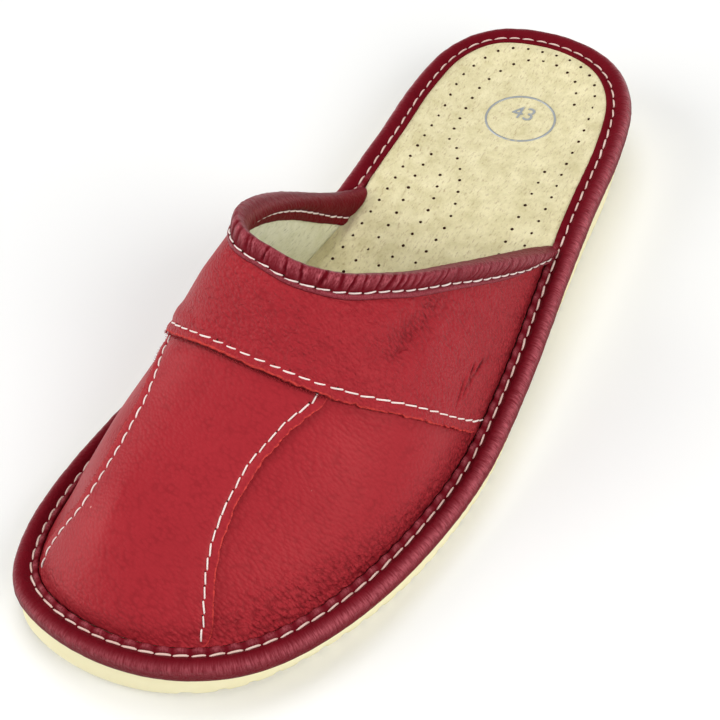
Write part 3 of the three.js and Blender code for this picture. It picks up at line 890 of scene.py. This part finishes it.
# Rand: a leather strip rolled round the edge, sewn through a groove, its cut edge lying on the upper
randForm = {
    # reach beyond the seam line, rise over it, lean of the cut edge where the upper stands
    "profile": ((-2.5, -0.6, 0.7), (-2.55, 0.05, 1), (-2.3, 0.36, 1), (-1.5, 0.4, 0.75), (-0.75, 0.15, 0.3),
                (0.05, -0.6, 0), (0.8, -0.1, 0), (1.6, 0.55, 0), (2.7, 0.9, 0), (4.2, 0.65, 0),
                (5.3, -0.15, 0), (6.0, -1.3, 0), (6.3, -2.7, 0), (5.9, -4.2, 0), (4.9, -5.2, 0),
                (3.4, -5.5, 0), (0.5, -5.5, 0), (-2.3, -5.45, 0), (-2.4, -3.0, 0)),
    "groove": 5,  # place of the stitch groove in the profile
    "lean": (0.5, 0.5),  # outward, up
    "stations": 1400,
    "ringPoints": 57,
    "ringStep": 0.55,  # millimetres from point to point round the roll, about
    # reach where the roll and the strip on the upper begin and over how much, then the same for rise
    "roll": (0.6, 1.2, -5.0, 1.5),
    "strip": (-0.2, -0.8, -0.7, 0.5),
    "pucker": 0.1,
    "puckerAt": (1.4, 1.1, -1.0),  # reach, half width, least rise
    "stripPucker": (0.05, 0.28),  # round the heel, beside the upper
    # how much lower the roll hangs at the toe, up to which turn, fading over, below which rise
    "toeDrop": (0.25, 58.0, 34.0, -0.7),
    "wrinkle": 0.1,
    "stripWrinkle": 0.05,
    "wrinkleSizes": (2.0, 6.0),  # fine ones straight across the roll, broad ones at a slant
    "paintedHighlightAndGloss": (5.1, -0.2, 1.6),  # reach and rise of the roll's painted highlight line, where it is also glossier, its half width
    # share of painted highlight on the strip's lumps beside the upper
    "stripHighlight": 0.3,
    # degrees round the seam line, then how strong the roll's painted highlight and gloss are there
    "highlightByTurn": ((0, 0.45), (35, 0.65), (75, 0.9), (140, 1), (180, 0.6), (225, 0.75), (290, 0.4), (330, 0.35),
             (360, 0.45)),
}


def evenTurns(count):  # turns a like distance apart round the seam line
    turn = np.linspace(0, 360, 3601)
    run = runAlong(np.stack(seamPoint(turn), -1))
    return np.interp(np.arange(count) * run[-1] / count, run, turn), run[-1]


def makeRand():
    form = randForm
    turn, length = evenTurns(form["stations"])
    reach, rise, leaning = closedProfile(form["profile"], form["ringPoints"]).T
    groove = int(round(form["groove"] * form["ringPoints"] / len(form["profile"])))
    pitch = length / round(length / seams["rand"]["pitch"])
    lean = insideUpper(turn)[:, None]
    outward, upward = form["lean"]
    drop, toeEnd, fade, below = form["toeDrop"]
    toe = ease((toeEnd - np.minimum(turn, 360 - turn)) / fade)[:, None]
    height = rise * (1 + drop * toe * (rise < below)) + lean * leaning * upward
    x, y = outlinePoint(turn[:, None], reach + lean * leaning * outward)
    ring = np.stack([x, y, seatHeight(y) + height], -1)
    normals = ringNormals(ring, closed=True)
    run = np.linspace(0, length, len(turn), endpoint=False)[:, None]
    loop = 2 * np.pi * run / length
    radius = length / (2 * np.pi)
    around = np.arange(len(reach)) * form["ringStep"]
    flow = np.stack(np.broadcast_arrays(radius * np.cos(loop), radius * np.sin(loop), around / 9), -1)
    slanted = flow + np.stack(np.broadcast_arrays(0, 0, around / 3), -1)
    roll, strip = [ease((reach - start) / span) * ease((rise - bottom) / height)
                   for start, span, bottom, height in (form["roll"], form["strip"])]
    sewn = np.cos(2 * np.pi * run / pitch)
    puckerReach, puckerWidth, puckerRise = form["puckerAt"]
    nearGroove = bell(reach - puckerReach, puckerWidth) * (rise > puckerRise)
    fine, broad = form["wrinkleSizes"]
    relief = (form["wrinkle"] * roll + form["stripWrinkle"] * strip) * softNoise(flow, fine)
    relief = relief + form["wrinkle"] * roll * softNoise(slanted + 50, broad)
    ring = ring + normals * relief[..., None]
    ring[..., 2] += sewn * (form["pucker"] * nearGroove + mix(*form["stripPucker"], lean) * strip)
    # painted highlight along the roll's shoulder, set side by side round the seam line, and on the strip's
    # lumps; the same mask makes them glossier
    highlightReach, highlightRise, highlightWidth = form["paintedHighlightAndGloss"]
    paintedHighlightAndGloss = bell(np.hypot(reach - highlightReach, rise - highlightRise), highlightWidth)
    paintedHighlightAndGloss = paintedHighlightAndGloss * tableCurve(form["highlightByTurn"])(turn)[:, None] + strip * lean * form["stripHighlight"] * (1 + sewn)
    addPiece("rand_leather", ring, gridQuads(ring, True, True), burgundyLeather,
             {"flow": flow.reshape(-1, 3) * mm, "paintedHighlightAndGloss": paintedHighlightAndGloss.ravel()}, "rand", "burgundy_leather")
    sewLine("rand", [(ring[:, groove], normals[:, groove], True)], 11, pitch)


makeRand()
print("rand ready")

# Upper: red leather outside, suede lining inside
upperSheet = {
    "grid": (131, 201),
    "leather": 1.0,
    "lining": (-1.05, -2.0),
    "foot": 0.3,  # lift of every sheet where it goes under the rand's cut edge
    "footSpan": 6.0,
    "sway": (0.22, 16),  # height and size of its soft unevenness
    "pucker": (9.0, 0.35, 10.0, 30.0),  # how high up, share on the inner side, x where it grows, over
    # row and across of each end, depth, half width: short folds beside the outer rand
    "creases": (
        (0.66, 0.925, 0.60, 0.935, 0.35, 0.8),
        (0.62, 0.90, 0.55, 0.915, 0.3, 0.8),
        (0.58, 0.945, 0.51, 0.95, 0.4, 0.8),
        (0.53, 0.91, 0.47, 0.93, 0.3, 0.8),
        (0.49, 0.95, 0.42, 0.935, 0.35, 0.8),
        (0.44, 0.90, 0.37, 0.92, 0.25, 0.8),
        (0.70, 0.88, 0.66, 0.90, 0.25, 0.9),
    ),
}


def towardFoot(row, across, lift):  # sheets draw in to one thickness where they are sewn under the rand
    height = overSeat(upperPoint(row, across, 0))
    return mix(upperSheet["foot"], lift, ease(height / upperSheet["footSpan"]))


def puckerNear(points):  # crinkles along the rand, stronger on the outer side; the same share also sets painted shade there
    height, least, start, span = upperSheet["pucker"]
    return bell(overSeat(points), height) * mix(least, 1, ease((points[..., 0] - start) / span))


def jointNormals(row, across):  # the two halves of a sheet meet along its first row
    normals = upperNormal(row, across)
    normals[0] = unit(normals[0] + normals[0, ::-1])
    return normals


def easeToe(points, reach):  # evens a sheet out over its first rows, where the two halves meet
    even = runningMean(np.concatenate([points[reach:0:-1, ::-1], points]), reach)
    rows = len(even)
    share = ease((3 * reach - np.arange(rows)) / (2 * reach))[:, None]
    share = share * ease(overSeat(points[:rows]) / 5)
    points[:rows] += (even - points[:rows]) * share[..., None]


def makeUpper():
    rows, columns = upperSheet["grid"]
    row, across = np.meshgrid(np.linspace(0, 1, rows), np.linspace(-1, 1, columns), indexing="ij")
    outer = upperPoint(row, across, towardFoot(row, across, 0.0))
    relief = creaseRelief(row, across, upperSheet["creases"]) + lumps(outer, *upperSheet["sway"])
    relief *= ease(overSeat(outer) / 2.5)
    pucker = puckerNear(outer)
    outer = outer + jointNormals(row, across) * relief[..., None]
    inner = upperPoint(row, across, -upperSheet["leather"])
    # fold: how much painted shade the leather gets in its crinkles along the rand
    marks = {"pucker": pucker, "fold": pucker}
    addSheet("upper_leather", outer, inner, redLeather, marks, True, node="upper", slot="red_leather")
    near, far = [upperPoint(row[::2, ::2], across[::2, ::2], lift) for lift in upperSheet["lining"]]
    addSheet("upper_lining", near, far, liningSuede, openStart=True, slot="suede")


makeUpper()
print("upper ready")

# Centre panel over toe and instep, its sides left raw and sewn down
panelForm = {
    "lift": 1.45,
    "under": 0.1,
    "backRow": 0.8,
    "bandDrop": 0.5,  # it thins where the band lies over it
    "stitchInset": 2.8,
    "grooveDepth": 0.32,
    "sway": (0.3, 22),
    "waves": ((0.16, 1.8),),  # height and size of those along the cut edge, and how far in they go
    "waveReach": 1.2,
    "ribLength": 50,  # millimetres to a unit of across, about
    "columns": 171,
    "crowding": 1.5,  # how much closer the columns lie at the cut edges
    "cutStart": {-1: 0.1962, 1: 0.2005},  # row where each raw edge leaves the rand
    "fibres": {"Pitch": 0.6, "Length": 0.9, "Radius": 0.13, "Seed": 5},
    "fibreLift": -0.2,
    "seed": 21,
}
rawEdge = {"round": 0.3, "square": 0.55, "lip": 0.35, "gape": 0.55, "gapeWidth": 0.8, "ragged": 0.3,
           "bright": 0.55, "lipAt": (0.4, 1.0), "raggedSizes": (1.5, 3.5), "raggedReach": 1.1}
# seam beside a cut edge: half width of its groove; share, place and half width of the swelling outside it;
# height over the seat where it starts; how far inside the cut its fibres are rooted
edgeSeam = {"groove": 0.8, "swelling": (0.4, 1.7, 0.9), "lowest": 2.0, "fibreInset": 0.05}


def rawLift(gap, under, lift):  # sheet near its cut edge: square below, rounded above, lip turned up
    t = np.clip(gap / rawEdge["round"], 0, 1)
    share = rawEdge["square"] + (1 - rawEdge["square"]) * np.sqrt(1 - (1 - t) ** 2)
    low = under + rawEdge["gape"] * bell(gap, rawEdge["gapeWidth"])
    at, width = rawEdge["lipAt"]
    high = lift + rawEdge["lip"] * bell(gap - at, width)
    return mix(low, high, share), low


def raggedEdge(base, gap):  # millimetres that the knife and the torn fibres leave the cut off its line
    fine, broad = [softNoise(base, size) for size in rawEdge["raggedSizes"]]
    return rawEdge["ragged"] * (fine + 0.6 * broad) * bell(gap, rawEdge["raggedReach"])


def edgeWaves(base, gap, form):
    return sum(lumps(base, *wave) for wave in form["waves"]) * bell(gap, form["waveReach"])


def grooveProfile(gap, form):  # thread pulls the leather down, the strip outside it swells a little
    share, at, width = edgeSeam["swelling"]
    swelling = share * bell(gap - at, width)
    return form["grooveDepth"] * (swelling - bell(gap - form["stitchInset"], edgeSeam["groove"]))


def shadeUnder(gap, paintedShade):  # the lip of a cut edge gets its raw fibre colour, lightened as a painted highlight; the slit below it and the given places get painted shade
    raw = bell(gap, rawEdge["bright"])
    return {"cutEdge": np.append(raw, 0 * raw), "crease": np.append(paintedShade, raw)}


def sewEdges(name, form, cuts, top, base):  # cuts: which side the sheet lies, row and across of its edge
    paths = []
    fringes = []
    for side, cut in cuts:
        seam = evenLine(*besideLine(*evenLine(*cut, step=1.5), side * form["stitchInset"]), step=1.0)
        points, up = layOn(*seam, top, base, 0.0)
        clear = overSeat(points) > edgeSeam["lowest"]
        paths.append((points[clear], up[clear], False))
        fringe = besideLine(*evenLine(*cut, step=1.0), side * edgeSeam["fibreInset"])
        fringes.append((*layOn(*fringe, top, base, form["fibreLift"]), False))
    sewLine(name, paths, form["seed"])
    followPaths(name + "_cut_fibres", fibreTree, fringes, form["fibres"], redLeather)


def makePanel():
    form = panelForm
    front = upperForm["bandFront"]
    # start, end and count of rows, closest where the raw edges leave the rand
    spans = ((0, 0.165, 24), (0.165, 0.195, 10), (0.195, 0.206, 38), (0.206, 0.26, 30), (0.26, 0.36, 24),
             (0.36, form["backRow"], 106))
    rows = np.unique(np.concatenate([np.linspace(*span) for span in spans]))[:, None]
    t = np.linspace(-1, 1, form["columns"])
    share = np.sign(t) * (1 - (1 - np.abs(t)) ** form["crowding"])
    across = np.where(share < 0, -share * panelEdgeAcross(rows, -1), share * panelEdgeAcross(rows, 1))
    row = np.repeat(rows, len(t), 1)
    base = upperPoint(row, across, 1.0)
    normals = jointNormals(row, across)
    gap = np.full(row.shape, 99.0)
    cuts = []
    for side, start in form["cutStart"].items():
        fine = np.linspace(start, front + 0.02, 3000)
        cut = evenLine(fine, panelEdgeAcross(fine, side), 0.4)
        gap = np.minimum(gap, nearest(base, upperPoint(*cut, 1.0))[0])
        cuts.append((side, cut))
    ragged = raggedEdge(base, gap) / form["ribLength"]
    across = across + np.sign(across) * ragged * ease(overSeat(base) / 6)
    lift = form["lift"] - form["bandDrop"] * ease((row - front + 0.05) / 0.045)
    lift = lift + grooveProfile(gap, form) + edgeWaves(base, gap, form)
    lift, low = rawLift(gap, form["under"], lift)
    lift = towardFoot(row, across, lift)
    top = upperPoint(row, across, lift)
    relief = lumps(top, *form["sway"])
    relief *= ease(overSeat(top) / 3) * ease(gap / 4) * ease((front - row) / 0.06)
    top = top + normals * relief[..., None]
    easeToe(top, 5)
    under = upperPoint(row, across, np.minimum(low, lift - 0.05))
    pucker = puckerNear(top)
    # painted shadow on the panel just under the band's front edge
    shade = shadeUnder(gap, 0.7 * ease((row - front + 0.006) / 0.005))
    # fold: how much painted shade the leather gets in its crinkles along the rand
    marks = {"pucker": pucker, "fold": pucker, **shade}
    addSheet("panel_leather", top, under, redLeather, marks, True, node="centre_panel", slot="red_leather")
    sewEdges("panel", form, cuts, top, base)


makePanel()
print("centre panel ready")

# Instep band, its front edge raw and sewn down over the panel and the sides
bandForm = {
    "thickness": 1.5,
    "under": 0.05,
    "panelStep": 1.0,
    "stepSpan": 2.5,  # degrees up a rib over which it steps up onto the panel
    "backRow": 0.985,
    "stitchInset": 3.5,
    "grooveDepth": 0.36,
    "sway": (0.32, 20),
    "waves": ((0.2, 5), (0.16, 1.8)),
    "waveReach": 1.8,
    "rowLength": 90,  # millimetres to a unit of row, about
    "lipRows": (0, 0.0003, 0.0007, 0.0013, 0.002, 0.003, 0.0043, 0.006, 0.008, 0.0105),  # behind the cut
    "lipEnd": 0.0135,
    "crowdedRows": (112, 0.815, 0.035, 2.0),  # count, where they lie closer, over how much, by how much
    "crowdedColumns": (330, 0.84, 0.05, 2.8),
    "fibres": {"Pitch": 0.5, "Length": 1.1, "Radius": 0.14, "Seed": 6},
    "fibreLift": -0.25,
    "seed": 31,
    # row and across of each end, depth, half width: sharp folds on the outer side, soft valleys above
    "folds": (
        (0.852, 0.860, 0.822, 0.846, 0.57, 0.55),
        (0.822, 0.846, 0.796, 0.842, 0.46, 0.55),
        (0.842, 0.828, 0.816, 0.832, 0.57, 0.55),
        (0.816, 0.832, 0.786, 0.834, 0.57, 0.55),
        (0.816, 0.815, 0.770, 0.824, 0.46, 0.55),
        (0.834, 0.840, 0.806, 0.838, 0.4, 0.55),
        (0.856, 0.876, 0.834, 0.862, 0.34, 0.55),
        (0.800, 0.806, 0.776, 0.812, 0.29, 0.55),
    ),
    "valleys": (
        (0.966, 0.646, 0.815, 0.553, 1.3, 4.0),
        (0.945, 0.728, 0.862, 0.684, 0.5, 3.2),
        (0.90, 0.55, 0.80, 0.47, 0.45, 3.5),
    ),
}


def crowded(start, end, count, at, width, gain):  # values from start to end, closer together round one place
    fine = np.linspace(start, end, 4001)
    weight = 1 + gain * bell(fine - at, width)
    total = np.append(0, np.cumsum((weight[1:] + weight[:-1]) / 2))
    return np.interp(np.linspace(0, total[-1], count), total, fine)


def makeBand():
    form = bandForm
    front = upperForm["bandFront"]
    rows = np.append(front + np.array(form["lipRows"]),
                     crowded(front + form["lipEnd"], form["backRow"], *form["crowdedRows"]))
    row, across = np.meshgrid(rows, crowded(-1, 1, *form["crowdedColumns"]), indexing="ij")
    edge = np.where(across < 0, -panelEdgeAcross(front, -1), panelEdgeAcross(front, 1))
    overPanel = ease((edge - np.abs(across)) * 90 / form["stepSpan"] + 0.5)
    overPanel = overPanel * ease((panelForm["backRow"] - row) / 0.03)
    floor = form["under"] + form["panelStep"] * overPanel
    cut = evenLine(np.full(3000, front), np.linspace(-1, 1, 3000), 0.4)
    base = upperPoint(row, across, 1.0)
    normals = upperNormal(row, across)
    gap, _ = nearest(base, upperPoint(*cut, 1.0))
    row = row + raggedEdge(base, gap) / form["rowLength"]
    lift = floor + form["thickness"] + edgeWaves(base, gap, form) + grooveProfile(gap, form)
    lift, low = rawLift(gap, floor, lift)
    lift = towardFoot(row, across, lift)
    top = upperPoint(row, across, lift)
    sharp = creaseRelief(row, across, form["folds"])
    soft = creaseRelief(row, across, form["valleys"])
    relief = lumps(top, *form["sway"]) + sharp + soft
    relief *= ease(overSeat(top) / 3) * ease(gap / 5) * ease((1 - row) / 0.12)
    top = top + normals * relief[..., None]
    under = upperPoint(row, across, np.minimum(towardFoot(row, across, low), lift - 0.05))
    near = puckerNear(top)
    valley = np.clip(-soft, 0, 1)
    # painted shade along the sharp folds
    shade = shadeUnder(gap, 0.9 * np.clip(-sharp / 0.4, 0, 1) ** 1.3)
    # fold: painted shade in the crinkles along the rand and in the soft valleys
    marks = {"pucker": np.maximum(near, 0.5 + 0.3 * valley), "fold": near + 0.7 * valley, **shade}
    addSheet("band_leather", top, under, redLeather, marks, node="instep_band", slot="red_leather")
    sewEdges("band", form, [(1, cut)], top, base)


makeBand()
print("instep band ready")

# Collar binding: a padded strip folded over the collar, gathered where the collar turns
bindingForm = {
    # by place across the collar, how far beyond its edge the sewn groove and the hem lie, outside and inside
    "outerGroove": ((-1, -3.3), (0.6, -3.3), (0.75, -3.9), (0.88, -3.6), (0.95, -2.0), (1, -1.6)),
    "outerHem": ((-1, -5.4), (-0.2, -4.6), (0.1, -4.3), (0.4, -5.0), (0.8, -5.4), (0.93, -3.4), (1, -2.4)),
    "innerGroove": ((-1, -4.9), (-0.89, -3.7), (-0.79, -2.3), (-0.64, -0.7), (-0.46, 0.3), (0.2, -1.5),
                    (1, -3.3)),
    "innerHem": ((-1, -7.6), (-0.83, -6), (-0.67, -4.4), (-0.5, -3.3), (-0.3, -3), (0.2, -4), (1, -5.3)),
    "crest": ((-1, 4.6), (-0.94, 3.6), (-0.86, 2.9), (0.9, 2.9), (1, 1.6)),
    "ringPoints": 76,
    "stations": 480,
    "endPuff": ((0.62, 18.0), (0.7, 11.0)),  # share of its fullness at each end, millimetres till it is full
    "evening": 9,  # sections to each side that a section is evened out with
    "clearance": 0.35,
    "gatherPitch": 3.1,
    "gatherCentre": 26.0,  # millimetres from the ridge toward the outer side
    "gatherSpan": 26.0,
    "gatherDepth": 0.7,
    # least and most: millimetres off its place, share of the depth, half width, lean
    "gathers": ((-1.4, 1.4), (0.2, 1.3), (0.35, 0.75), (-0.35, 0.35)),
    "crinkle": (0.14, 2.2),  # height and size
    "fill": 0.8,
    "seeds": (7, 41),  # gathers, stitches
}


def smoothRun(ring, reach):  # evens a row of sections out along its length, the two ends kept
    before = 2 * ring[:1] - ring[reach:0:-1]
    after = 2 * ring[-1:] - ring[-2:-reach - 2:-1]
    return runningMean(np.concatenate([before, ring, after]), reach)


def bindingGrid():
    form = bindingForm

    def start(station, side):  # across where the binding comes down on the rand
        y = outlinePoint(station if side > 0 else 360 - station, upperForm["feather"])[1]
        rise = math.degrees(math.asin((form["clearance"] / float(crownHeight(y))) ** (fullness(y) / 2)))
        return side * (1 - rise / 90)

    fine = np.linspace(start(upperForm["medialStation"], -1), start(upperForm["lateralStation"], 1), 2001)
    run = runAlong(upperPoint(1.0, fine, 0.0))
    even = np.linspace(0, run[-1], form["stations"])
    across = np.interp(even, run, fine)
    edge = upperPoint(1.0, across, 0.0)
    along = unit(np.gradient(edge, axis=0))
    perRow = (edge - upperPoint(0.996, across, 0.0)) / 0.004
    spread = np.linalg.norm(perRow - along * (perRow * along).sum(-1, keepdims=True), axis=-1)
    seamOut, hemOut, seamIn, hemIn, crest = [tableCurve(form[key])(across) for key in (
        "outerGroove", "outerHem", "innerGroove", "innerHem", "crest")]
    (inner, innerSpan), (outer, outerSpan) = form["endPuff"]
    puff = mix(inner, 1, ease(even / innerSpan)) * mix(outer, 1, ease((run[-1] - even) / outerSpan))
    places = (  # beyond the edge, lift from the upper's outer face, going round from the outer hem
        (hemOut + 0.2, 1.5), (hemOut, 2.1), (hemOut + 0.3, 2.6), (mix(hemOut, seamOut, 0.55), 2.8),
        (seamOut, 2.15), (mix(seamOut, crest, 0.16), 3.3 * puff), (mix(seamOut, crest, 0.4), 4.4 * puff),
        (mix(seamOut, crest, 0.68), 4.3 * puff), (crest - 0.9, 2.9 * puff), (crest - 0.1, 1.0 * puff),
        (crest, -1.0), (mix(crest, seamIn, 0.14), -2.6), (mix(crest, seamIn, 0.4), -3.7),
        (mix(crest, seamIn, 0.72), -3.7), (mix(crest, seamIn, 0.9), -3.3), (seamIn, -2.9),
        (mix(seamIn, hemIn, 0.45), -3.3), (hemIn + 0.4, -3.2), (hemIn, -2.8), (hemIn + 0.2, -2.15),
        (mix(hemIn, 0.3, 0.5), -2.15), (0.3 * puff, -2.15), (0.3 * puff, 1.5), (mix(hemOut, 0.3, 0.5), 1.5))
    corners = np.stack([np.stack(np.broadcast_arrays(b, h, across)[:2], -1) for b, h in places], 0)
    profile = np.swapaxes(closedProfile(corners, form["ringPoints"]), 0, 1)
    ring = upperPoint(1 + profile[..., 0] / spread[:, None], across[:, None], profile[..., 1])
    grooves = [int(round(k * form["ringPoints"] / len(places))) for k in (4, 15)]
    corner = np.arange(form["ringPoints"]) / form["ringPoints"] * len(places)
    return smoothRun(ring, form["evening"]), even - np.interp(0.0, fine, run), grooves, corner


def makeBinding():
    form = bindingForm
    ring, run, (outer, inner), corner = bindingGrid()
    normals = ringNormals(ring)
    if ((normals * (ring - ring.mean(1, keepdims=True))).sum(-1)).mean() < 0:
        normals = -normals
    place = np.arange(form["ringPoints"])
    roll = ease((place - outer - 0.5) / 3) * ease((inner - place - 0.5) / 3)
    rollOut = roll * ease((form["ringPoints"] * 8.5 / 24 - place) / 10)
    hem = ease((outer - place - 0.5) / 2) * ease((place - 2) / 2)
    hemIn = ease((place - inner - 0.5) / 2) * ease((inner + 13 - place) / 2)
    generator = np.random.default_rng(form["seeds"][0])
    centres = np.arange(run[0], run[-1], form["gatherPitch"])
    shifts, shares, widths, leans = [generator.uniform(*span, len(centres)) for span in form["gathers"]]
    relief = np.zeros(ring.shape[:2])
    for centre, share, width, lean in zip(centres + shifts, shares, widths, leans):
        away = run[:, None] - centre - lean * (place - outer) * 0.4
        fold = 0.45 * bell(np.abs(away) - 2 * width, width) - bell(away, width)
        relief += form["gatherDepth"] * share * fold * (rollOut + 0.25 * hem + 0.3 * hemIn)
    relief *= 0.2 + bell(run - form["gatherCentre"], form["gatherSpan"])[:, None]
    ridges = np.clip(relief / form["gatherDepth"] * 3, -1, 1)
    relief += lumps(ring, *form["crinkle"]) * (roll + 1.6 * hem + hemIn)
    ring = ring + normals * relief[..., None]
    flow = np.stack(np.broadcast_arrays(run[:, None], place * 0.6 / 3, 0.0), -1)
    # painted highlight on the roll's shoulder, brightest on the gather ridges, with painted glints along the
    # crest and the hem; the same mask makes them glossier
    shoulder = bell(corner - 7.2, 1.8)
    paintedHighlightAndGloss = np.clip(shoulder * (0.6 + 1.1 * ridges) + 0.25 * bell(corner - 10.2, 0.7) + 0.55 * hem, 0, 1)
    rows, columns = ring.shape[:2]
    ends = [range(columns), range(rows * columns - 1, (rows - 1) * columns - 1, -1)]
    piece = addPiece("binding_leather", ring, [*gridQuads(ring, wrapColumns=True), *ends], burgundyLeather,
                     {"flow": flow.reshape(-1, 3) * mm, "paintedHighlightAndGloss": paintedHighlightAndGloss.ravel()},
                     "collar_binding", "burgundy_leather")
    paths = [(ring[6:-6, k], normals[6:-6, k], False) for k in (outer, inner)]
    sewLine("binding", paths, form["seeds"][1])


makeBinding()
print("binding ready")

# Floor, light and camera
studio = {
    "paper": ("#f6f6f4", "#fbfbfa"),
    "floorHalf": 4.0,
    "world": "#f5f6f8",
    "worldStrength": 0.2,
    # place in metres, size, power, whether it shows in reflections
    "lights": (((-1.3, -0.8, 0.78), 1.6, 20.0, True), ((0.95, -0.25, 0.75), 0.8, 9.5, True),
               ((-0.15, 0.35, 1.4), 0.9, 8.5, False)),
}
view = {
    "azimuth": 41.58,
    "elevation": 50.146,
    "roll": -11.971,
    "target": (4.535, -16.759, 20.0),
    "distance": 503.418,
    "focalPixels": 1565.873,
    "imageWidth": 720,
    "sensor": 36.0,
}


def makeStudio():
    mesh = bpy.data.meshes.new("floor")
    half = studio["floorHalf"]
    corners = [(-half, -half, 0), (half, -half, 0), (half, half, 0), (-half, half, 0)]
    mesh.from_pydata(corners, [], [(0, 1, 2, 3)])
    floor = addObject("floor", mesh)
    # Seamless studio paper: dead matt, barely clouded
    paper, _, _, _, tone = newMaterial("seamless_paper", studio["paper"], size=500.0, detail=2.0)
    mesh.materials.append(finished(paper, {"Base Color": tone, "Roughness": 0.9, "Specular IOR Level": 0.1}))
    world = bpy.data.worlds.new("studio")
    world.use_nodes = True
    wire(world.node_tree, world.node_tree.nodes["Background"], {
        "Color": linear(studio["world"]), "Strength": studio["worldStrength"]})
    scene.world = world
    for number, (place, size, power, shines) in enumerate(studio["lights"]):
        light = bpy.data.lights.new("softbox_%d" % number, "AREA")
        light.shape = "DISK"
        light.size = size
        light.energy = power
        lamp = addObject(light.name, light)
        lamp.location = place
        lamp.visible_glossy = shines
        lamp.rotation_euler = (-Vector(place)).to_track_quat("-Z", "Y").to_euler()


def makeCamera():
    azimuth, elevation, roll = [math.radians(view[k]) for k in ("azimuth", "elevation", "roll")]
    turned = Matrix.Rotation(azimuth, 4, "Z") @ Matrix.Rotation(math.pi / 2 - elevation, 4, "X")
    turned = turned @ Matrix.Rotation(roll, 4, "Z")
    back = turned.col[2].xyz
    lens = bpy.data.cameras.new("camera")
    lens.sensor_width = view["sensor"]
    lens.lens = view["focalPixels"] * view["sensor"] / view["imageWidth"]
    lens.clip_start = 0.01
    camera = addObject("camera", lens)
    place = (Vector(view["target"]) + back * view["distance"]) * mm
    camera.matrix_world = Matrix.Translation(place) @ turned
    scene.camera = camera


makeStudio()
makeCamera()
scene.view_settings.view_transform = "Standard"
print("studio ready")
